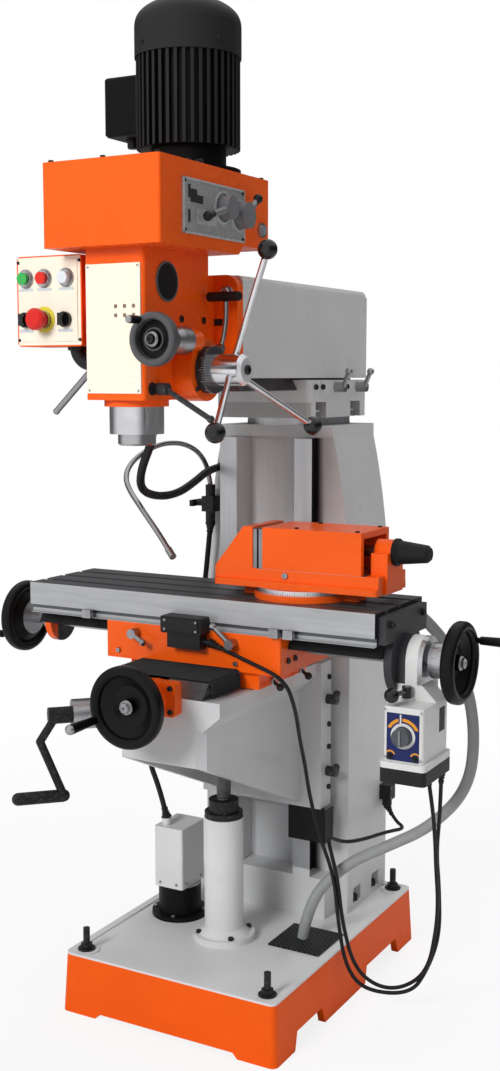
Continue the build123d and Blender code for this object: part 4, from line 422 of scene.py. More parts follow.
zinc = turned(Finish("zinc_plated_screws"), "z", 186, 0.24).done()
FLANGE_SCREWS = [(x, y, POST_FLANGE_TOP) for x, y in ring(POST_AXIS, 0.055, (0.8, 2.4, 3.9, 5.5))]
screws("post_flange_screws", FLANGE_SCREWS, UP, 0.006, 0.006, "stand", *BLACK)


# Coolant pump: a black cast motor on a flange in the tray, under a sheet steel cover painted light grey and held
# by screws along its lower edge.
PUMP_TOP = 0.194
PUMP_AXIS = (-0.151, -0.042)
COVER_RIGHT, COVER_FRONT, COVER_SCREW_Z = -0.115, -0.0895, 0.204


def grid(*places):
    """Points at all combinations of the given coordinates, each one number or several."""
    return list(itertools.product(*(place if isinstance(place, tuple) else (place,) for place in places)))


skin = enamel(Finish("pump_paint"), srgb(14, 14, 16), 0.42, 0.0, 0.15)
enamel(skin, PALE_GREY, 0.34, where=skin.z.over(PUMP_TOP)).wear("coolant_pump")
screws("pump_cover_front_screws", grid((-0.172, -0.13), COVER_FRONT, COVER_SCREW_Z), FRONT, 0.003, 0.002, "stand", zinc)
screws("pump_cover_side_screws", grid(COVER_RIGHT, (-0.072, -0.012), COVER_SCREW_Z), RIGHT, 0.003, 0.002, "stand", zinc)
PUMP_FLANGE = [(x, y, 0.132) for x, y in ring(PUMP_AXIS, 0.0545, (0.3, 1.9, 3.5, 5.0))]
screws("pump_flange_screws", PUMP_FLANGE, UP, 0.0045, 0.004, "stand", zinc, sides=6, socket=0.1)


# Column: a tall iron casting that narrows in a curve towards its head, painted grey. Its two front rails are ground
# bright, the corners beside them are painted near black as painted shade of the rails' undercuts, and hex bolts in
# pockets hold its foot on the base.
WAY_FRONT_Y = 0.0762
CHANNEL_X = 0.0705
COLUMN_REAR = 0.338
FOOT_Z = 0.2125
skin = enamel(Finish("column_enamel"), MID_GREY)
grinding = skin.noise(90.0, 3.0, (1.0, 1.0, 0.05))
skin.mottled(grinding, srgb(200, 201, 204), srgb(176, 178, 181), 0.3, 0.12, 0.7, grinding, 0.00003,
             where=skin.y.under(WAY_FRONT_Y) * skin.z.over(0.23))
in_channel = skin.y.between(0.077, 0.1425) * skin.x.between(-CHANNEL_X, CHANNEL_X) * skin.z.over(FOOT_Z)
skin.mottled(grinding, srgb(212, 213, 214), srgb(200, 201, 203), 0.5, 0.12, where=in_channel)
beside = skin.x.math("ABSOLUTE", skin.x)
# Painted shade: near black on the column's front beside each rail, where the dovetail undercut shades it.
painted_shade_undercut = skin.y.between(0.1, 0.1295) * beside.over(0.093) * beside.under(0.109, 0.009)
painted_shade_undercut = painted_shade_undercut * skin.z.between(FOOT_Z, 1.178)
skin.mottled(grinding, srgb(30, 30, 32), srgb(14, 14, 15), 0.4, 0.12, where=painted_shade_undercut).wear("column_casting")
screws("column_foot_bolts", grid((-0.172, 0.172), (0.178, 0.278), 0.136), UP, 0.011, 0.014, "stand", *BLACK, 6, 0.2)


def meshed(form, name, material, place=None, sharp=None):
    """Mesh of a finished bmesh, its faces outwards, moved to its place and smooth up to an angle in degrees."""
    bmesh.ops.recalc_face_normals(form, faces=form.faces)
    mesh = bpy.data.meshes.new(name)
    form.to_mesh(mesh)
    form.free()
    if place:
        mesh.transform(place)
    if sharp:
        mesh.shade_smooth()
        mesh.set_sharp_from_angle(angle=math.radians(sharp))
    mesh.materials.append(material)
    return mesh


def slab(name, low, high, edge, body, material, slot):
    """Pressed or cast plate with rounded edges, between two corners."""
    form = bmesh.new()
    bmesh.ops.create_cube(form, size=1.0)
    for vertex in form.verts:
        vertex.co = [a + (share + 0.5) * (b - a) for a, b, share in zip(low, high, vertex.co)]
    bmesh.ops.bevel(form, geom=form.edges[:], offset=edge, segments=2, profile=0.6, affect="EDGES")
    keep(name, meshed(form, name, material), body)


grey_plate = enamel(Finish("cover_plate_enamel"), MID_GREY, 0.34).done()
DOOR_FACE = COLUMN_REAR + 0.0025
slab("column_rear_door", (-0.115, COLUMN_REAR - 0.001, 0.27), (0.115, DOOR_FACE, 0.74), 0.0012, "stand", grey_plate,
     "grey_paint")
screws("column_door_screws", grid((-0.105, 0.105), DOOR_FACE, (0.28, 0.505, 0.73)), REAR, 0.0045, 0.003, "stand", zinc)


# Coolant fittings: a black valve on the column's front, a bent steel pipe with its nozzle, and the perforated black
# screen over the drain in the tray, whose holes are painted near black as painted shade of the drain under them.
SCREEN_TOP = 0.138
VALVE_AXIS, VALVE_TOP = (-0.15, 0.095), 1.0705
skin = turned(Finish("coolant_pipe"), "z", 186, 0.2)
blackened(skin, 26, where=skin.off("xy", VALVE_AXIS).under(0.05) * skin.z.under(VALVE_TOP))
# Painted shade: the screen's holes are near-black spots, for the dark drain under them.
holes = (skin.x.wave(0.012) * skin.y.wave(0.012)).over(0.35, 0.1)
skin.mottled(holes, srgb(52, 54, 56), srgb(6, 6, 6), 0.5, 0.1, 0.5,
             where=skin.z.under(SCREEN_TOP)).wear("coolant_fittings")


# Cable gland on the column's right side and the travel switch on the saddle: black moulded boxes with a screwed
# gland and screwed lids.
GLAND_FACE = 0.209
SWITCH_FACE = -0.2725


def moulded(skin, colour, rough=0.42, where=None):
    """Moulded plastic: fine grain and a faint sheen difference."""
    return skin.mottled(skin.noise(30.0, 3.0), colour, shade(colour, 0.85), rough, 0.14, 0.0, skin.noise(1400.0, 2.0),
                        0.00012, where=where)


black_moulding = moulded(Finish("black_moulding"), srgb(26, 26, 28)).wear("cable_gland", "limit_switch")
PLASTIC = (black_moulding, "black_plastic")
screws("gland_lid_screws", grid(GLAND_FACE, (0.302, 0.322), (0.343, 0.367)), RIGHT, 0.0025, 0.0015, "stand", zinc)
slab("switch_lid", (-0.043, SWITCH_FACE, 0.81), (0.039, SWITCH_FACE + 0.003, 0.836), 0.001, "saddle", *PLASTIC)
screws("switch_lid_screws", grid((-0.038, 0.034), SWITCH_FACE, (0.814, 0.832)), FRONT, 0.0026, 0.0012, "saddle", zinc)


# Knee: an iron box casting that slides on the column and carries the cross ways. Painted light grey outside, a little
# darker than the base's top as painted shade from the table above it, with its ways on top scraped bright, and the gib
# screws in its right flange.
KNEE_TOP = 0.7003
KNEE_FLANGE_X = 0.148
# Painted shade: the knee's grey is a darker copy of PALE_GREY, for the shade that the table casts on it.
skin = enamel(Finish("knee_enamel"), srgb(204, 205, 207))
scraping = skin.noise(120.0, 2.0)
skin.mottled(scraping, srgb(150, 151, 154), srgb(120, 121, 124), 0.3, 0.16, 0.9, scraping, 0.00003,
             where=skin.z.over(KNEE_TOP)).wear("knee_casting")
screws("knee_gib_screws", grid(KNEE_FLANGE_X, 0.092, (0.42, 0.51, 0.56, 0.665)), RIGHT, 0.006, 0.005, "knee", *BLACK)


# Bearings on the knee: the crank's stepped bearing is turned aluminium, the cross screw's bracket on its front is
# orange and held by four screws, and the wiper guard at the lower right is a folded black sheet.
BRACKET_FACE = -0.377
CRANK_BEARING_X, GUARD_TOP = -0.07, 0.385
skin = enamel(Finish("bearing_metals"), ORANGE)
turned(skin, "x", 196, 0.3, where=skin.x.under(CRANK_BEARING_X))
enamel(skin, srgb(28, 28, 30), 0.42, 0.0, 0.15, where=skin.z.under(GUARD_TOP)).wear("knee_bearings")
screws("cross_bracket_screws", grid((-0.042, 0.042), BRACKET_FACE, (0.678, 0.724)), FRONT, 0.0055,
       0.005, "knee", *BLACK)


# Way cover: a black rubber sheet pleated over the knee's ways, held by strips at the knee's front and on the saddle.
COVER_Y, COVER_Z = (-0.347, -0.2374), (0.706, 0.7374)
COVER_HALF = 0.118
PLEATS, PLEAT_H, SHEET_T = 12, 0.0045, 0.0014


def bridge(form, low, high, closed=True):
    """Faces between two rows of points, each of them a loop, an open row or a single point."""
    count = max(len(low), len(high))
    for i in range(count if closed else count - 1):
        corners = (low[i % len(low)], low[(i + 1) % len(low)], high[(i + 1) % len(high)], high[i % len(high)])
        form.faces.new(list(dict.fromkeys(corners)))


skin = Finish("cover_rubber")
skin.mottled(skin.noise(80.0, 4.0), srgb(32, 32, 34), srgb(18, 18, 19), 0.5, 0.14, 0.0, skin.noise(300.0), 0.0002)
form = bmesh.new()
rows = []
for fold in range(2 * PLEATS + 1):
    y = COVER_Y[0] + (COVER_Y[1] - COVER_Y[0]) * fold / (2 * PLEATS)
    rise = PLEAT_H if fold % 2 else 0.0
    out = COVER_HALF - 0.004 + rise * 0.7
    half = [(out, COVER_Z[0]), (out, COVER_Z[1] - 0.008), (out - 0.006, COVER_Z[1] + rise)]
    rows.append([form.verts.new((x, y, z)) for x, z in [(-x, z) for x, z in half] + half[::-1]])
for near_row, far_row in zip(rows, rows[1:]):
    bridge(form, near_row, far_row, closed=False)
pleated_cover = in_scene("pleated_cover", meshed(form, "pleated_cover", skin.done()))
sheet = pleated_cover.modifiers.new("sheet", "SOLIDIFY")
sheet.thickness = SHEET_T
sheet.offset = 0.0
pleated_cover.data = baked(pleated_cover)
pleated_cover.modifiers.clear()
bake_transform(pleated_cover)
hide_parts("way_cover")


# Elevating crank: a forged arm, blackened, with a turned black grip on its end. Through a bevel pair in the knee it
# turns the lifting screw.
blackened(Finish("crank_black"), 26).wear("elevating_crank")


# Cross screw: turned steel with a bright graduated dial, and a black cast handwheel with a bright nut in its hub.
# Its grip is black phenolic with a bright end screw.
CROSS_Z = 0.701
CROSS_GRIP, CROSS_WHEEL_BACK = -0.562, -0.4405
HUB_BRIGHT_R = 0.0142
GRIP_TIP = 0.0085
WHEEL_BLACK = (srgb(13, 13, 14), 0.34, 0.0, 0.16)
WHEEL_NUT = {"radius": 0.0105, "height": 0.007, "material": zinc, "sides": 6, "socket": 0.3}
skin = turned(Finish("cross_screw"), "y", 190)
off_hub = skin.off("xz", (0.0, CROSS_Z)).over(HUB_BRIGHT_R, 0.0006)
enamel(skin, *WHEEL_BLACK, where=skin.y.between(CROSS_GRIP + GRIP_TIP, CROSS_WHEEL_BACK) * off_hub).wear("cross_screw")
screws("cross_wheel_nut", [(0.0, -0.466, CROSS_Z)], FRONT, body="cross_screw", **WHEEL_NUT)

ticks = Shape("graduations", Count="Int", Radius="Float", Tick="Vector", Every="Int", Longer="Float")
circle = ticks.node("MeshCircle", None, Vertices=ticks.given["Count"], Radius=ticks.given["Radius"]).outputs["Mesh"]
number = Value(ticks, ticks.node("InputIndex").outputs[0]) % Value(ticks, ticks.given["Every"])
stretch = 1 + number.under(0.5, 0.1) * (Value(ticks, ticks.given["Longer"]) - 1)
tick_length = Value(ticks, ticks.node("ShaderNodeSeparateXYZ", None, ticks.given["Tick"]).outputs[2])
half_tick = ticks.node("ShaderNodeCombineXYZ", None, 0.0, 0.0, tick_length * 0.5).outputs[0]
line = ticks.node("MeshCube", None, Size=ticks.given["Tick"]).outputs["Mesh"]
line = ticks.node("Transform", None, line, Translation=half_tick).outputs[0]
radial = ticks.node("FunctionNodeAlignRotationToVector", {"axis": "X", "pivot_axis": "Z"},
                    Vector=ticks.node("InputPosition").outputs[0]).outputs[0]
longer = ticks.node("ShaderNodeCombineXYZ", None, 1.0, 1.0, stretch).outputs[0]
ticks.close(ticks.node("InstanceOnPoints", None, Points=circle, Instance=line, Rotation=radial,
                       Scale=longer).outputs[0])


def stood(place, along):
    """Move that stands an upright shape at a place, along a direction."""
    return Matrix.Translation(place) @ Vector(UP).rotation_difference(Vector(along)).to_matrix().to_4x4()


def graduations(name, place, along, radius, count, length, body, material, slot="black_paint", every=5, longer=1.8,
                depth=0.0004, width=0.0006):
    """Engraved lines round a dial, filled with paint, from one edge of it inwards."""
    sizes = {"Count": count, "Radius": radius, "Tick": (depth, width, length), "Every": every, "Longer": longer}
    grow(name, ticks, bpy.data.meshes.new(name), sizes, body, material, stood(place, along))


def thin_paint(name, first, second, grain, rough=0.5, dull_grain=90.0, metal=0.0):
    """Material of a thin paint or film, faintly mottled."""
    skin = Finish(name)
    return skin.mottled(skin.noise(grain), first, second, rough, 0.1, metal, sheen=skin.noise(dull_grain)).done()


black_ink = thin_paint("engraving_paint", srgb(20, 20, 22), srgb(46, 46, 48), 300.0)
graduations("cross_dial_lines", (0, -0.4002, CROSS_Z), FRONT, 0.0301, 50, 0.006, "cross_screw", black_ink)


# Saddle: an orange casting between the knee and the table, with dovetails scraped in its top and bottom, gib
# screws in its right end, two ball-ended clamp screws in its right jaw and two oil nipples in its front.
SADDLE_FRONT, SADDLE_END = -0.237, 0.203
enamel(Finish("saddle_enamel"), ORANGE).wear("saddle_casting")
screws("saddle_gib_screws", grid(SADDLE_END, (-0.205, -0.175, -0.07, -0.04), 0.762), RIGHT, 0.006, 0.004,
       "saddle", *BLACK)
screws("saddle_oil_nipples", grid((-0.172, 0.105), SADDLE_FRONT, 0.752), FRONT, 0.005, 0.006, "saddle", zinc,
       socket=0.4)


def turns(steps):
    """Angles of equal steps once round."""
    return [math.tau * i / steps for i in range(steps)]


def lathe(name, outline, place, along, body, material, slot, steps=32):
    """Turned piece: an outline of (radius, height) pairs spun round an axis, from its foot along a direction."""
    form = bmesh.new()
    hoops = []
    for radius, height in outline:
        spots = ring((0.0, 0.0), radius, turns(steps if radius else 1))
        hoops.append([form.verts.new((x, y, height)) for x, y in spots])
    bored = hoops[:1] if outline[0][0] else []
    for low, high in zip(hoops, hoops[1:] + bored):
        bridge(form, low, high)
    keep(name, meshed(form, name, material, stood(place, along), 35), body)


BALL_R, BALL_Z = 0.008, 0.0225
CLAMP_BALL = [(BALL_R * math.sin(a), BALL_Z - BALL_R * math.cos(a)) for a in (0.6, 1.0, 1.4, 1.8, 2.2, 2.6)]
CLAMP_STUD = [(0, 0), (0.0036, 0), (0.0036, 0.016)] + CLAMP_BALL + [(0, BALL_Z + BALL_R)]
CLAMPS = [(0.15, -0.172, 0.7105), (0.15, -0.048, 0.7085)]
for end, place in zip(("front", "rear"), CLAMPS):
    lathe("saddle_clamp_" + end, CLAMP_STUD, place, (0.85, 0, -0.53), "saddle", *BLACK, 20)
screws("saddle_clamp_collars", CLAMPS, RIGHT, 0.0075, 0.006, "saddle", zinc, sides=16, socket=0.6)


# Lock levers: turned hubs and arms, each with its end turned to a rounded knob. Those of the table, the ram and the
# quill stop are bright, those that clamp the knee and the quill are blackened.
turned(Finish("lock_lever_steel"), "z", 176).wear("table_lock_left", "table_lock_right", "ram_lock_front",
                                                  "ram_lock_rear", "quill_lock_lever")
blackened(Finish("knee_lock_steel"), 52).wear("knee_lock_upper", "knee_lock_lower", "quill_clamp_lever")


# Table: a planed and ground iron slab with three T-slots. Its top is dark with oil, its front edge bright, and its ends
# and its underside are left in black paint. The upper part of the groove in its front edge is painted dark as painted
# shade under the groove's lip.
TABLE_END, TABLE_UNDERSIDE = 0.3995, 0.8117
skin = Finish("table_iron")
planing, stains = skin.noise(120.0, 3.0, (0.08, 1.0, 1.0)), skin.noise(11.0, 5.0)
skin.mottled(planing, srgb(192, 193, 195), srgb(162, 164, 167), 0.34, 0.14, 0.55, planing, 0.00004)
in_slots = skin.y.over(-0.2355) * skin.z.over(0.8465)
# Painted shade: the upper part of the front groove takes the top's dark colour, for the shade under its lip.
painted_shade_groove = skin.y.between(-0.2362, -0.22) * skin.z.between(0.8205, 0.8305)
skin.mottled(stains * planing, srgb(104, 106, 109), srgb(44, 45, 47), 0.28, 0.24, 0.7, planing, 0.00004, sheen=stains,
             where=in_slots + painted_shade_groove)
in_black = skin.x.over(TABLE_END) + skin.x.under(-TABLE_END) + skin.z.under(TABLE_UNDERSIDE)
enamel(skin, srgb(32, 32, 34), 0.45, 0.0, 0.15, where=in_black).wear("table")


# Table fittings: a dark bracket on either end, each held by two socket screws, the left one with an orange front,
# and bright stops bolted in the groove of the table's front edge.
BRACKET_END = 0.416
IRON_GREY = (srgb(58, 59, 62), 0.4, 0.0, 0.2)
skin = enamel(Finish("table_fittings"), *IRON_GREY)
enamel(skin, ORANGE, where=skin.x.under(-0.39) * skin.y.under(-0.143))
turned(skin, "x", 190, where=skin.y.under(-0.2365)).wear("table_fittings")
screws("right_bracket_screws", grid(BRACKET_END, (-0.2, -0.044), 0.852), RIGHT, 0.007, 0.007, "table", *BLACK)
screws("left_bracket_screws", grid(-BRACKET_END, (-0.17, -0.074), 0.848), LEFT, 0.006, 0.006, "table", *BLACK)
screws("stop_bolts", grid((-0.246, 0.193, 0.224), -0.249, 0.8215), FRONT, 0.0062, 0.0006, "table", zinc)


# Table screw: turned steel with bright graduated dials, and black handwheels at both ends whose hubs are closed by
# bright nuts. The grips are black with bright end screws.
WHEEL_BACKS, GRIP_ENDS = (-0.4825, 0.5025), (-0.604, 0.624)
SCREW_AXIS = (-0.122, 0.776)
skin = turned(Finish("table_screw"), "x", 196)
off_hub = skin.off("yz", SCREW_AXIS).over(HUB_BRIGHT_R, 0.0006)
on_right = skin.x.between(WHEEL_BACKS[1], GRIP_ENDS[1] - GRIP_TIP)
on_left = skin.x.between(GRIP_ENDS[0] + GRIP_TIP, WHEEL_BACKS[0])
enamel(skin, *WHEEL_BLACK, where=(on_right + on_left) * off_hub).wear("table_screw")
screws("right_wheel_nut", [(0.528, *SCREW_AXIS)], RIGHT, body="table_screw", **WHEEL_NUT)
screws("left_wheel_nut", [(-0.508, *SCREW_AXIS)], LEFT, body="table_screw", **WHEEL_NUT)
graduations("right_dial_lines", (0.4722, *SCREW_AXIS), RIGHT, 0.0341, 50, 0.007, "table_screw", black_ink)
graduations("left_dial_lines", (-0.4166, *SCREW_AXIS), LEFT, 0.0241, 50, 0.005, "table_screw", black_ink)


# Power feed: a white moulded housing on the table's right end with a dark blue face round its speed knob, and a
# black cap over its motor below. A dark grating lets air in at its side.
FACE_X, FACE_Z, FACE_Y = (0.4235, 0.4885), (0.6045, 0.6945), -0.2315
KNOB_AT = (0.456, 0.652)
SMALL_KNOBS_X, SMALL_KNOBS_Z = (0.431, 0.481), 0.6125
FEED_SIDE, RING_FOOT, MOTOR_CAP_TOP = 0.4955, 0.735, 0.5895
FEED_WHITE = (srgb(226, 226, 225), 0.34)
skin = moulded(Finish("power_feed_moulding"), *FEED_WHITE)
dial_r = skin.off("xz", KNOB_AT)
on_face = skin.y.under(FACE_Y) * skin.z.between(*FACE_Z) * skin.x.between(*FACE_X)
moulded(skin, srgb(24, 34, 92), 0.3, where=on_face)
arcs = dial_r.between(0.0275, 0.0335) * skin.z.over(0.6655) * (1 - skin.x.between(0.447, 0.455))
for x in SMALL_KNOBS_X:
    knob_arc = skin.off("xz", (x, SMALL_KNOBS_Z)).between(0.0078, 0.0108)
    arcs = arcs + knob_arc * skin.z.over(SMALL_KNOBS_Z + 0.0035)
moulded(skin, srgb(236, 160, 40), 0.3, where=on_face * arcs)
pointer = skin.x.between(0.4495, 0.4525) * skin.z.between(0.674, 0.6925)
moulded(skin, *FEED_WHITE, where=on_face * (dial_r.between(0.0185, 0.0242) + pointer))
at_ring = skin.z.over(RING_FOOT)
enamel(skin, *IRON_GREY, where=at_ring * skin.x.under(0.4325))
turned(skin, "x", 214, 0.2, where=at_ring * skin.x.over(0.4565))
in_grating = skin.x.over(FEED_SIDE) * skin.y.between(-0.152, -0.124) * skin.z.between(0.646, 0.692)
moulded(skin, srgb(26, 26, 28), where=in_grating + skin.z.under(MOTOR_CAP_TOP)).wear("power_feed")
slab("feed_grating", (FEED_SIDE, -0.151, 0.647), (FEED_SIDE + 0.0013, -0.125, 0.691), 0.0005, "table", *PLASTIC)
screws("feed_case_screws", grid((0.4205, 0.4915), -0.232, (0.6095, 0.6995)), FRONT, 0.002, 0.0012, "table", zinc)
SMALL_KNOB = [(0, 0), (0.0055, 0), (0.0055, 0.002), (0.0038, 0.003), (0.0038, 0.009), (0.003, 0.0105), (0, 0.0108)]
for name, x in zip(("feed_fuse_cap", "feed_rapid_button"), SMALL_KNOBS_X):
    lathe(name, SMALL_KNOB, (x, -0.2318, SMALL_KNOBS_Z), FRONT, "table", *PLASTIC, 20)


def phenolic(skin, tone, rough, coat, where=None):
    """Polished phenolic resin: near black, with paler specks."""
    specks = skin.noise(500.0, 2.0)
    return skin.mottled(specks.over(0.7, 0.05), srgb(tone, tone, tone + 1), srgb(tone + 24, tone + 24, tone + 26),
                        rough, 0.06, 0.0, specks, 0.00004, coat, sheen=specks, where=where)


phenolic(Finish("black_phenolic"), 16, 0.16, 0.3).wear("feed_lever", "selector_left", "selector_right")
KNOB_TIP = -0.2483
skin = moulded(Finish("speed_knob"), srgb(78, 81, 86), 0.36)
moulded(skin, srgb(128, 130, 134), 0.3, where=skin.y.under(KNOB_TIP)).wear("feed_knob")


# Vise: an orange casting on a round swivel base with a bright graduated ring. Its jaws have hardened steel plates,
# and a black rubber boot covers the end of its screw.
VISE_AXIS = (0.192, -0.112)
SWIVEL_Z, BED_Z, VISE_SCREW_Z = 0.889, 0.9345, 0.976
JAW_PLATE_X, BOOT_X = (0.1092, 0.1185), 0.3863
JAW_STEEL = ("z", 168, 0.34)
BOOT_RUBBER = (srgb(20, 20, 21), 0.5)
skin = enamel(Finish("vise_swivel"), ORANGE)
turned(skin, "z", 246, 0.34, where=skin.z.over(SWIVEL_Z)).wear("vise_base")
graduations("vise_ring_lines", (*VISE_AXIS, SWIVEL_Z + 0.0002), UP, 0.0951, 120, 0.004, "table", black_ink, longer=1.7)
skin = enamel(Finish("vise_enamel"), ORANGE)
turned(skin, "y", 176, 0.3, where=skin.z.between(BED_Z - 0.001, BED_Z) * skin.x.between(JAW_PLATE_X[1], 0.351))
turned(skin, *JAW_STEEL, where=skin.x.between(*JAW_PLATE_X) * skin.z.over(BED_Z)).wear("vise_body")
for end, side, along in (("front", -0.066, FRONT), ("rear", 0.066, REAR)):
    screws(f"vise_{end}_plug", [(0.182, VISE_AXIS[1] + side, 0.9235)], along, 0.0065, 0.004, "vise_body", zinc)
VISE_NUTS = [(VISE_AXIS[0] + side, VISE_AXIS[1], SWIVEL_Z) for side in (-0.111, 0.111)]
screws("vise_clamp_nuts", VISE_NUTS, UP, 0.0085, 0.007, "table", zinc, sides=6, socket=0.3)
skin = enamel(Finish("vise_jaw_enamel"), ORANGE)
turned(skin, *JAW_STEEL, where=skin.x.under(0.131)).wear("vise_jaw")
screws("vise_hood_screws", grid((0.2, 0.33), (-0.165, -0.059), 1.016), UP, 0.0045, 0.0025, "vise_jaw", *BLACK)
skin = turned(Finish("vise_boot"), "x", 160)
moulded(skin, *BOOT_RUBBER, where=skin.x.over(BOOT_X)).wear("vise_screw")
boot_black = moulded(Finish("boot_rubber"), *BOOT_RUBBER).done()
BOOT_RIB = [(0.0258, 0.0), (0.0268, 0.0006), (0.0268, 0.0022), (0.0258, 0.0028)]
for count, x in enumerate((BOOT_X + 0.001, BOOT_X + 0.005), 1):
    lathe(f"vise_boot_rib_{count}", BOOT_RIB, (x, VISE_AXIS[1], VISE_SCREW_Z), RIGHT, "vise_screw", boot_black,
          "cord_rubber", 40)


# Turret and ram: grey castings on the column's top. The turret swivels on a round graduated face and is held by bolts
# in its pockets, which are painted a darker grey as painted shade; the ram slides through it on a dovetail, with gib
# screws along its side.
TURRET_AXIS = (0.0, 0.234)
TURRET_RING_TOP, POCKET_FLOOR, RAM_FOOT = 1.2218, 1.2222, 1.3068
WASHER_T = 0.003
WASHER = {"height": WASHER_T, "material": zinc, "sides": 20, "socket": 0.9}
skin = enamel(Finish("turret_enamel"), MID_GREY)
# Painted shade: the grey in the pockets is darkened to seven tenths, for the shade inside them.
painted_shade_pockets = skin.x.between(-0.1135, 0.1135) * skin.z.between(1.2225, 1.2555)
enamel(skin, shade(MID_GREY, 0.7), 0.5, 0.0, where=painted_shade_pockets)
turned(skin, "z", 190, 0.3, where=skin.z.under(TURRET_RING_TOP)).wear("turret_saddle")
TURRET_BOLTS = grid((-0.1015, 0.1015), (0.114, 0.288), POCKET_FLOOR)
screws("turret_washers", TURRET_BOLTS, UP, 0.0125, body="turret", **WASHER)
screws("turret_bolts", [(x, y, z + WASHER_T) for x, y, z in TURRET_BOLTS], UP, 0.0105, 0.013, "turret", zinc, sides=6,
       socket=0.2)
graduations("turret_lines", (*TURRET_AXIS, 1.2055), UP, 0.1151, 120, 0.005, "turret", black_ink)
screws("ram_gib_screws", grid(0.115, (0.085, 0.118, 0.24, 0.335), 1.288), RIGHT, 0.006, 0.006, "turret", *BLACK)
skin = enamel(Finish("ram_enamel"), MID_GREY)
turned(skin, "x", 120, 0.34, where=skin.z.under(RAM_FOOT)).wear("ram_casting")
screws("ram_cap_screws", grid((-0.092, 0.092), 0.3617, (1.324, 1.468)), REAR, 0.006, 0.0006, "ram", *BLACK)


# Head and gearbox: orange castings. The head holds the quill and tilts on the ram's front, where four nuts clamp
# its flange; the gearbox above it carries the motor and has a screwed cover.
FLANGE_FACE, HEAD_SIDE, BULGE_SIDE, BOX_TOP = -0.235, 0.064, 0.104, 1.685
FEED_AXIS = (-0.341, 1.322)
enamel(Finish("head_enamel"), ORANGE, 0.26).wear("head_casting")
TILT_NUTS = grid((-0.086, 0.086), FLANGE_FACE, (1.332, 1.468))
screws("tilt_washers", TILT_NUTS, FRONT, 0.014, body="head", **WASHER)
screws("tilt_nuts", [(x, y - WASHER_T, z) for x, y, z in TILT_NUTS], FRONT, 0.011, 0.011, "head", zinc, sides=6,
       socket=0.45)
screws("quill_stop_plug", [(HEAD_SIDE, -0.464, 1.288)], RIGHT, 0.012, 0.002, "head", *BLACK, 24, 0.72)
screws("head_plugs", grid(HEAD_SIDE, (-0.3645, -0.286), 1.4145), RIGHT, 0.0068, 0.002, "head", *BLACK, 20, 0.72)
BULGE_SCREWS = [(BULGE_SIDE, y, z) for y, z in ring(FEED_AXIS, 0.05, (0.7, 2.3, 3.9, 5.4))]
screws("bulge_screws", BULGE_SCREWS, RIGHT, 0.0045, 0.004, "head", *BLACK)
slab("clutch_label", (0.0575, FLANGE_FACE - 0.001, 1.4065), (0.0755, FLANGE_FACE + 0.0005, 1.4195), 0.0003, "head",
     *PLASTIC)
enamel(Finish("gearbox_enamel"), ORANGE, 0.26).wear("gearbox_case")
COVER_SCREWS = grid((-0.112, 0.112), (-0.515, -0.415, -0.15), BOX_TOP) + [(0.0, -0.515, BOX_TOP)]
screws("gearbox_cover_screws", COVER_SCREWS, UP, 0.005, 0.005, "head", *BLACK)


# Plates on the head: a bare cream plate on its front, a black round one on its right side, and the grey cast speed
# plate of the gearbox with a glass oil sight beside it. All are screwed on.
PLATE_FRONT, BADGE_X, SPEED_X, SPEED_FACE = -0.4905, 0.0635, 0.12, 0.1265
CHART_Z = (1.297, 1.372)
BADGE_AT, SIGHT_AT = (-0.414, 1.479), (-0.172, 1.588)
skin = Finish("head_plates")
rows = (skin.z % 0.0118).under(0.0006, 0.0002) * skin.x.between(-0.05, 0.05)
posts = (skin.x % 0.0333).under(0.0006, 0.0002) * skin.x.between(-0.051, 0.051)
chart = (rows + posts) * skin.z.between(*CHART_Z)
in_cell = ((skin.x + 0.0032) % 0.019).between(0.006, 0.0125, 0.001) * skin.x.between(0.0, 0.049)
cells = in_cell * (skin.z.between(1.43, 1.4366, 0.001) + skin.z.between(1.4141, 1.4207, 0.001))
cream = skin.mix(chart * 0.4, srgb(244, 237, 219), srgb(206, 190, 164))
cloudy, sand = skin.noise(40.0), skin.noise(160.0, 4.0)
skin.mottled(cells * 0.9, cream, srgb(92, 52, 34), 0.36, 0.1, 0.0, skin.noise(300.0), 0.0001, sheen=cloudy)
badge_rim = skin.off("yz", BADGE_AT).over(0.0325)
skin.mottled(badge_rim, srgb(26, 27, 28), srgb(104, 105, 107), 0.3, 0.1, 0.2, sheen=cloudy, where=skin.x.over(BADGE_X))
on_speed = skin.x.over(SPEED_X)
skin.mottled(sand, srgb(196, 197, 198), srgb(120, 122, 124), 0.38, 0.2, 0.3, sand, where=on_speed)
at_sight = on_speed * skin.y.over(-0.2)
turned(skin, "z", 190, where=at_sight)
in_glass = at_sight * skin.off("yz", SIGHT_AT).under(0.0092)
skin.mottled(cloudy, srgb(110, 130, 150), srgb(196, 204, 212), 0.08, 0.04, 0.5, where=in_glass).wear("head_plates")
screws("front_plate_rivets", grid((-0.053, 0.053), PLATE_FRONT, (1.285, 1.503)), FRONT, 0.0022,
       0.0012, "head", zinc, socket=0.1)
screws("speed_plate_screws", grid(SPEED_FACE, (-0.451, -0.247), (1.564, 1.648)), RIGHT, 0.0032, 0.002, "head", *BLACK)
skin = Finish("cast_speed_relief")
sand = skin.noise(160.0, 4.0)
cast_relief = skin.mottled(sand, srgb(212, 213, 214), srgb(160, 162, 164), 0.36, 0.2, 0.3, sand).done()
chart_black = thin_paint("speed_chart_paint", srgb(28, 28, 29), srgb(48, 48, 50), 120.0, dull_grain=50.0)
RELIEF, CHART = (cast_relief, "bright_steel"), (chart_black, "black_paint")
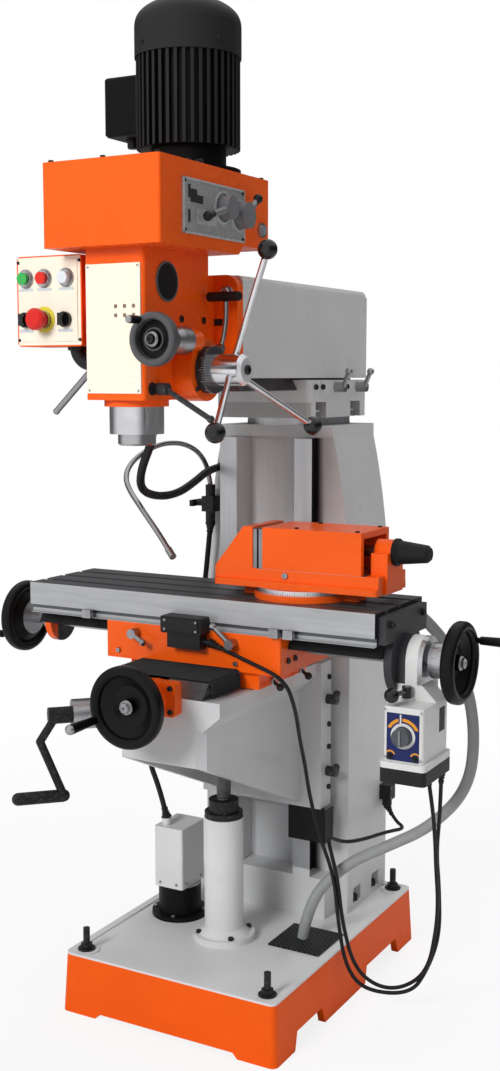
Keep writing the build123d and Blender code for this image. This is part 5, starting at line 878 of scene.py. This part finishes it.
PLATE_RIBS = [(-0.457, 1.558, -0.241, 1.562), (-0.457, 1.65, -0.241, 1.654), (-0.457, 1.558, -0.453, 1.654),
              (-0.245, 1.558, -0.241, 1.654), (-0.41, 1.578, -0.345, 1.604)]
CHART_CELLS = [(-0.44, 1.62, -0.432, 1.643), (-0.432, 1.613, -0.41, 1.636), (-0.41, 1.613, -0.39, 1.627),
               (-0.44, 1.578, -0.433, 1.6)]
for name, patches, rise, edge, look in (("speed_plate_rib", PLATE_RIBS, 0.002, 0.0009, RELIEF),
                                        ("speed_chart_cell", CHART_CELLS, 0.0006, 0.0003, CHART)):
    for count, patch in enumerate(patches, 1):
        slab(f"{name}_{count}", (SPEED_FACE - 0.001, *patch[:2]), (SPEED_FACE + rise, *patch[2:]), edge, "head", *look)
SEAT = [(0.026, 0), (0.03, 0), (0.0295, 0.0035), (0.026, 0.004)]
for end, y, z in (("front", -0.322, 1.614), ("rear", -0.262, 1.606)):
    lathe("speed_hub_seat_" + end, SEAT, (SPEED_FACE - 0.0005, y, z), RIGHT, "head", *RELIEF)


# Motor: a finned frame and a dished fan cowl of cast aluminium, sprayed black, with a terminal box on its left
# under a screwed lid. Hex bolts hold its flange, and slots in the cowl's top let the fan draw air.
MOTOR_AXIS = (0.0, -0.233)
COWL_FOOT, LID_FACE = 1.9055, -0.163
FLANGE_TURNS = [math.pi / 4 + turn for turn in turns(4)]
skin = enamel(Finish("motor_black"), srgb(10, 10, 11), 0.45, 0.0, 0.12)
crest = skin.off("xy", MOTOR_AXIS).between(0.0982, 0.1006) * skin.z.between(1.738, 1.912) + skin.z.over(COWL_FOOT)
enamel(skin, srgb(38, 38, 40), 0.45, 0.0, 0.15, where=crest * skin.x.over(-0.102)).wear("motor_frame")
FLANGE_BOLTS = [(x, y, 1.7) for x, y in ring(MOTOR_AXIS, 0.086, FLANGE_TURNS)]
screws("motor_flange_bolts", FLANGE_BOLTS, UP, 0.009, 0.009, "head", *BLACK, 6, 0.15)
for count, turn in enumerate(FLANGE_TURNS, 1):
    spot, out = (ring(centre, radius, [turn + 0.35])[0] for centre, radius in ((MOTOR_AXIS, 0.1013), ((0, 0), 1)))
    screws(f"cowl_screw_{count}", [(*spot, 1.925)], (*out, 0), 0.0042, 0.003, "head", *BLACK)
graduations("cowl_slots", (*MOTOR_AXIS, 2.0096), UP, 0.028, 30, 0.0006, "head", *CHART, every=1, longer=1.0, depth=0.02,
            width=0.0024)
black_lid = enamel(Finish("terminal_lid_enamel"), srgb(14, 14, 15), 0.42, 0.0, 0.15).done()
slab("terminal_lid", (LID_FACE, -0.276, 1.772), (LID_FACE + 0.0045, -0.19, 1.878), 0.0016, "head", black_lid,
     "black_paint")
screws("terminal_lid_screws", grid(LID_FACE, (-0.268, -0.198), (1.78, 1.87)), LEFT, 0.0032, 0.002, "head", zinc)
PLUG = [(0, 0), (0.013, 0), (0.013, 0.004), (0.0105, 0.005), (0.0105, 0.016), (0.009, 0.018), (0, 0.018)]
lathe("terminal_blanking_plug", PLUG, (-0.128, -0.233, 1.7695), DOWN, "head", *PLASTIC, 24)


# Quill and spindle: a ground sleeve with the feed rack in its back, which slides in the head's bore, and the bright
# spindle nose that turns below it.
turned(Finish("quill_steel"), "z", 226, 0.12).wear("quill")
turned(Finish("spindle_steel"), "z", 196, 0.14).wear("spindle")


# Gears and rotor inside the gearbox: hobbed steel gears and a laminated rotor with a bright shaft. The case hides
# them, so they are left in plain steel.
turned(Finish("gear_steel"), "z", 150, 0.3).wear("spindle_gear", "counter_gear", "motor_rotor")


# Feed hub: a chromed hub with three levers and black phenolic balls, in front of a dark depth dial with white lines.
# A black screw closes its end.
DIAL_FACE, BARREL_R, BALLS_R = 0.1222, 0.0275, 0.1945
skin = turned(Finish("feed_hub"), "x", 240, 0.12)
from_axis = skin.off("yz", FEED_AXIS)
turned(skin, "x", 250, 0.3, 0.55, where=from_axis.under(BARREL_R))
blackened(skin, 40, where=skin.x.under(DIAL_FACE))
phenolic(skin, 14, 0.12, 0.4, where=from_axis.over(BALLS_R)).wear("feed_hub")
white_ink = thin_paint("dial_white_paint", srgb(222, 222, 220), srgb(196, 196, 194), 200.0)
graduations("depth_dial_lines", (0.1218, *FEED_AXIS), LEFT, 0.0431, 60, 0.005, "feed_hub", white_ink, "white_plastic")
screws("hub_end_screw", [(0.188, *FEED_AXIS)], RIGHT, 0.009, 0.005, "feed_hub", *BLACK)


# Fine feed wheel: a black wheel, worn grey at its rim, with a crank pin, on the head's right side. Behind it is a
# bright graduated collar, and its hub is closed by a bright ring and a dark screw.
FINE_X, FINE_Z = 0.1, 1.374
WHEEL_Y = (-0.5235, -0.5)
skin = enamel(Finish("fine_feed"), *WHEEL_BLACK)
fine_r = skin.off("xz", (FINE_X, FINE_Z))
worn = (fine_r.over(0.0335) + fine_r.between(0.0178, 0.0206)) * skin.y.between(*WHEEL_Y)
enamel(skin, srgb(84, 84, 86), 0.45, 0.0, 0.2, where=worn)
bright = skin.y.over(-0.4995) + skin.y.under(-0.5545) + fine_r.between(0.0098, 0.0135) * skin.y.under(-0.518)
turned(skin, "y", 190, where=bright).wear("fine_feed_wheel")
screws("fine_wheel_screw", [(FINE_X, -0.522, FINE_Z)], FRONT, 0.007, 0.004, "fine_feed_wheel", *BLACK)
graduations("fine_dial_lines", (FINE_X, -0.4128, FINE_Z), FRONT, 0.0251, 40, 0.006, "fine_feed_wheel", black_ink)


# Clutch lever and speed levers: bright arms with black sleeves. The clutch lever turns on the head's right side, the
# speed levers on that of the gearbox, in the seats of its cast plate.
CLUTCH_GRIP_Z = 1.448
skin = turned(Finish("clutch_lever"), "z", 168)
moulded(skin, srgb(20, 20, 21), 0.34, where=skin.z.over(CLUTCH_GRIP_Z)).wear("clutch_lever")
skin = turned(Finish("speed_levers"), "x", 156, 0.36, 0.5)
at_grip = (skin.y.over(-0.236) + skin.y.under(-0.386)) * skin.x.over(0.135)
moulded(skin, srgb(22, 22, 23), 0.34, where=at_grip).wear("speed_lever_front", "speed_lever_rear")


# Control box: a folded sheet steel box on the head's left with a cream plastic panel on its front, screwed at its
# corners. The buttons, the lamp and the mushroom stop are moulded plastic in bright metal rings.
PANEL_FACE, RECESS_Y = -0.472, -0.4694
BUTTON_Z, SWITCH_Z = 1.489, 1.414
LAMP_AT = (-0.115, BUTTON_Z)
BUTTON_COLOURS = {"start_button": srgb(66, 178, 88), "stop_button": srgb(222, 48, 36),
                  "emergency_stop": srgb(214, 40, 34)}


def panel_cream(skin, where=None):
    """Cream film of the panel, a little cloudy."""
    return skin.mottled(skin.noise(26.0, 3.0), srgb(244, 237, 221), srgb(238, 228, 208), 0.34, 0.1, 0.0,
                        skin.noise(700.0), 0.00008, where=where)


skin = enamel(Finish("control_box_enamel"), ORANGE, 0.32)
in_recess = skin.y.under(RECESS_Y) * skin.x.between(-0.2272, -0.0848) * skin.z.between(1.3675, 1.5275)
panel_cream(skin, where=in_recess).wear("control_box")
skin = panel_cream(Finish("panel_plate"))
turned(skin, "z", 200, 0.16, where=skin.y.under(PANEL_FACE - 0.0004))
in_lamp = skin.off("xz", LAMP_AT).under(0.0112) * skin.y.under(PANEL_FACE - 0.0052)
skin.mottled(skin.noise(26.0, 3.0), srgb(226, 232, 236), srgb(196, 206, 212), 0.08, 0.05, coat=0.6,
             where=in_lamp).wear("control_panel")
for name, colour in BUTTON_COLOURS.items():
    moulded(Finish(name + "_plastic"), colour, 0.26).wear(name)
screws("panel_screws", grid((-0.2258, -0.0862), -0.47, (1.377, 1.519)), FRONT, 0.0028, 0.0026, "head", *BLACK)

ELBOW_X, ELBOW_Y, ELBOW_Z, ELBOW_BEND, ELBOW_R = -0.085, -0.44, 1.3655, 0.032, 0.013
bend = ring((ELBOW_X, ELBOW_Z), ELBOW_BEND, [math.radians(180 + 7.5 * step) for step in range(13)])
line = [Vector((x, ELBOW_Y, z)) for x, z in bend + [(-0.0635, ELBOW_Z - ELBOW_BEND)]]
form = bmesh.new()
hoops = []
for before, at, after in zip(line[:1] + line, line, line[1:] + line[-1:]):
    across = (after - before).normalized().cross(Vector(REAR))
    hoops.append([form.verts.new(at + u * across + v * Vector(REAR)) for u, v in ring((0, 0), ELBOW_R, turns(20))])
for low, high in zip(hoops, hoops[1:]):
    bridge(form, low, high)
for hoop in (hoops[0], hoops[-1]):
    form.faces.new(hoop)
keep("panel_elbow", meshed(form, "panel_elbow", black_moulding, sharp=40), "head")
ELBOW_NUT = [(0.013, 0), (0.0168, 0), (0.0168, 0.006), (0.0155, 0.0075), (0.013, 0.0075)]
lathe("panel_elbow_nut", ELBOW_NUT, (ELBOW_X - ELBOW_BEND, ELBOW_Y, ELBOW_Z), DOWN, "head", *PLASTIC, 6)

stop_yellow = thin_paint("stop_ring_yellow", srgb(226, 214, 74), srgb(206, 190, 52), 60.0, 0.36)
STOP_RING = [(0.0165, 0), (0.024, 0), (0.024, 0.0012), (0.0225, 0.0018), (0.0165, 0.0018)]
lathe("stop_backing_ring", STOP_RING, (-0.166, PANEL_FACE, SWITCH_Z), FRONT, "head", stop_yellow, "white_plastic", 40)
BEZEL = [(0.0148, 0), (0.0172, 0), (0.0172, 0.003), (0.016, 0.0045), (0.0148, 0.0045)]
BEZELS = {"start": (-0.207, BUTTON_Z), "stop": (-0.165, BUTTON_Z), "lamp": LAMP_AT}
for name, (x, z) in BEZELS.items():
    lathe(name + "_bezel", BEZEL, (x, PANEL_FACE, z), FRONT, "head", zinc, "bright_steel", 36)
legend_film = thin_paint("legend_film", srgb(216, 222, 226), srgb(188, 198, 206), 50.0, 0.3, metal=0.3)
for name, (x, z) in dict(BEZELS, left_switch=(-0.208, SWITCH_Z), right_switch=(-0.118, SWITCH_Z)).items():
    slab(name + "_legend", (x - 0.0165, PANEL_FACE - 0.0008, z - 0.0225), (x + 0.0165, PANEL_FACE + 0.0002, z - 0.0175),
         0.0002, "head", legend_film, "cream_plate")


# Cords and hoses. Two thin black leads hang from the power feed in one loop, one from the travel switch on the
# saddle and one from the gland on the column. A clear grey hose drains the table, a dark conduit wires the head.
LEAD_D, DRAIN_D, CONDUIT_D, PUMP_HOSE_D = 0.008, 0.024, 0.017, 0.012


def lay_line(name, points, diameter, material, bodies, node):
    """Tube along a smooth spline through the route, left in place when it runs between two bodies, or riding on one."""
    data = bpy.data.curves.new(name, "CURVE")
    data.dimensions = "3D"
    data.bevel_resolution = 4
    data.use_fill_caps = True
    spline = data.splines.new("NURBS")
    spline.points.add(len(points) - 1)
    for spot, point in zip(spline.points, points):
        spot.co = (*point, 1.0)
    spline.order_u = 3
    spline.use_endpoint_u = True
    spline.resolution_u = 14
    route = in_scene(name + "_route", data)
    line = [vertex.co.copy() for vertex in baked(route).vertices]
    data.bevel_depth = diameter / 2
    mesh = baked(route)
    bpy.data.objects.remove(route)
    mesh.shade_smooth()
    mesh.materials.append(material)
    tube = in_scene(name, mesh)
    if len(bodies) == 2:
        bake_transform(tube)
    else:
        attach(tube, bodies[0])
    stiffness = "limp" if diameter == LEAD_D else "medium"
    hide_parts(node)


def rubber(name, colour, rough, coat=0.0):
    """Material of a cord's jacket: faintly mottled rubber or vinyl."""
    skin = Finish(name)
    return skin.mottled(skin.noise(60.0), colour, shade(colour, 0.75), rough, 0.12, 0.0, skin.noise(900.0), 0.0002,
                        coat).done()


lead_black = rubber("lead_rubber", srgb(22, 22, 24), 0.42)
hose_grey = rubber("drain_hose_vinyl", srgb(158, 160, 161), 0.28, 0.3)
conduit_black = rubber("conduit_rubber", srgb(24, 24, 26), 0.4)
SWITCH_LEAD = [
    ("saddle knee", [(0.0526, -0.25, 0.791), (0.139, -0.256, 0.765), (0.217, -0.243, 0.734), (0.214, -0.192, 0.662),
                     (0.194, -0.137, 0.593), (0.18, -0.084, 0.522), (0.169, -0.041, 0.444)]),
    ("knee stand", [(0.195, -0.046, 0.36), (0.236, -0.058, 0.284), (0.256, -0.078, 0.19), (0.272, -0.074, 0.1),
                    (0.302, -0.046, 0.045)]),
    ("stand knee", [(0.392, -0.016, 0.045), (0.43, -0.018, 0.11), (0.456, -0.022, 0.19)]),
    ("knee saddle", [(0.457, -0.033, 0.295), (0.458, -0.055, 0.375)]),
    ("saddle table", [(0.478, -0.09, 0.475), (0.487, -0.112, 0.5614)])]
SUPPLY_LEAD = [
    ("table saddle", [(0.466, -0.132, 0.5614), (0.473, -0.116, 0.48), (0.47, -0.094, 0.41)]),
    ("saddle knee", [(0.466, -0.076, 0.346), (0.462, -0.052, 0.275)]),
    ("knee stand", [(0.453, -0.035, 0.205), (0.43, -0.02, 0.105), (0.376, -0.016, 0.055)]),
    ("stand", [(0.325, -0.032, 0.052), (0.285, -0.06, 0.096), (0.262, -0.07, 0.188), (0.243, -0.056, 0.28),
               (0.218, -0.042, 0.336), (0.202, -0.016, 0.35), (0.211, 0.035, 0.322), (0.23, 0.09, 0.313),
               (0.252, 0.19, 0.306), (0.262, 0.262, 0.292), (0.22, 0.298, 0.2935), (0.195, 0.312, 0.3215)])]
DRAIN_HOSE = [
    ("table saddle", [(0.384, -0.0066, 0.846), (0.413, 0.056, 0.797), (0.474, 0.052, 0.702)]),
    ("saddle knee", [(0.5, 0.04, 0.603), (0.494, 0.028, 0.487)]),
    ("knee stand", [(0.418, 0.016, 0.397), (0.329, 0.004, 0.345), (0.238, -0.008, 0.293), (0.166, -0.034, 0.21),
                    (0.155, -0.04, 0.1266)])]
CONDUIT = [
    ("head ram", [(-0.04, -0.29, 1.2676), (-0.048, -0.289, 1.193), (-0.083, -0.284, 1.128)]),
    ("ram turret", [(-0.115, -0.237, 1.083), (-0.121, -0.165, 1.064)]),
    ("turret stand", [(-0.12, -0.09, 1.065), (-0.123, -0.018, 1.084), (-0.126, 0.053, 1.109), (-0.127, 0.1276, 1.112)])]
PUMP_HOSE = [
    ("stand", [(-0.167, -0.0695, 0.3465), (-0.186, -0.066, 0.404), (-0.228, -0.048, 0.462), (-0.25, -0.005, 0.512),
               (-0.236, 0.05, 0.56), (-0.212, 0.082, 0.615), (-0.19, 0.092, 0.69), (-0.175, 0.094, 0.77),
               (-0.163, 0.094, 0.86), (-0.15, 0.095, 0.9835)])]
LINES = [("switch_lead", SWITCH_LEAD, LEAD_D, lead_black, "machine_cords"),
         ("supply_lead", SUPPLY_LEAD, LEAD_D, lead_black, "machine_cords"),
         ("drain_hose", DRAIN_HOSE, DRAIN_D, hose_grey, "drain_hose"),
         ("conduit", CONDUIT, CONDUIT_D, conduit_black, "conduit"),
         ("pump_hose", PUMP_HOSE, PUMP_HOSE_D, conduit_black, "pump_hose")]
for name, runs, diameter, material, node in LINES:
    routes = [points for bodies, points in runs]
    joints = [[tuple(round((a + b) / 2, 6) for a, b in zip(before[-1], after[0]))]
              for before, after in zip(routes, routes[1:])]
    for count, ((bodies, points), first, last) in enumerate(zip(runs, [[]] + joints, joints + [[]]), 1):
        lay_line(f"{name}_line_{count}", first + points + last, diameter, material, bodies.split(), node)


# Strain reliefs, hose nuts and clamps: tapered rubber boots where the leads leave their housings, and turned nuts
# or clips where the hoses are pushed on.
def relief(radius, length):
    """Outline of a tapered boot with three grooves that let it bend."""
    outline = [(radius, 0), (radius + 0.0055, 0), (radius + 0.0055, 0.004)]
    for groove in range(3):
        at = length * (0.25 + 0.22 * groove)
        wide = radius + 0.0045 - 0.0012 * groove
        outline += [(wide, at - 0.003), (wide - 0.0016, at - 0.001), (wide - 0.0016, at + 0.001),
                    (wide - 0.0004, at + 0.003)]
    return outline + [(radius + 0.001, length), (radius, length)]


RELIEFS = [("switch_lead_boot", LEAD_D, 0.03, (0.0526, -0.25, 0.791), (0.957, -0.066, -0.288), "saddle"),
           ("switch_lead_end_boot", LEAD_D, 0.03, (0.487, -0.112, 0.5618), (-0.1, 0.245, -0.964), "table"),
           ("supply_lead_boot", LEAD_D, 0.03, (0.466, -0.132, 0.5618), (0.084, 0.192, -0.978), "table"),
           ("supply_lead_end_boot", LEAD_D, 0.026, (0.195, 0.312, 0.3222), (0.62, -0.35, -0.7), "stand"),
           ("conduit_head_nut", CONDUIT_D, 0.024, (-0.04, -0.29, 1.268), (-0.1, 0, -0.99), "head"),
           ("conduit_column_nut", CONDUIT_D, 0.024, (-0.127, 0.128, 1.112), (0, -1, -0.04), "stand"),
           ("pump_hose_nut", PUMP_HOSE_D, 0.022, (-0.167, -0.0695, 0.3463), (-0.3, 0.06, 0.95), "stand"),
           ("pump_hose_valve_nut", PUMP_HOSE_D, 0.022, (-0.15, 0.095, 0.984), (-0.1, 0, -0.99), "stand"),
           ("drain_hose_table_nut", DRAIN_D, 0.02, (0.384, -0.0068, 0.846), (0.38, 0.86, -0.35), "table")]
for name, diameter, length, place, along, body in RELIEFS:
    lathe(name, relief(diameter / 2, length), place, along, body, *PLASTIC, 24)
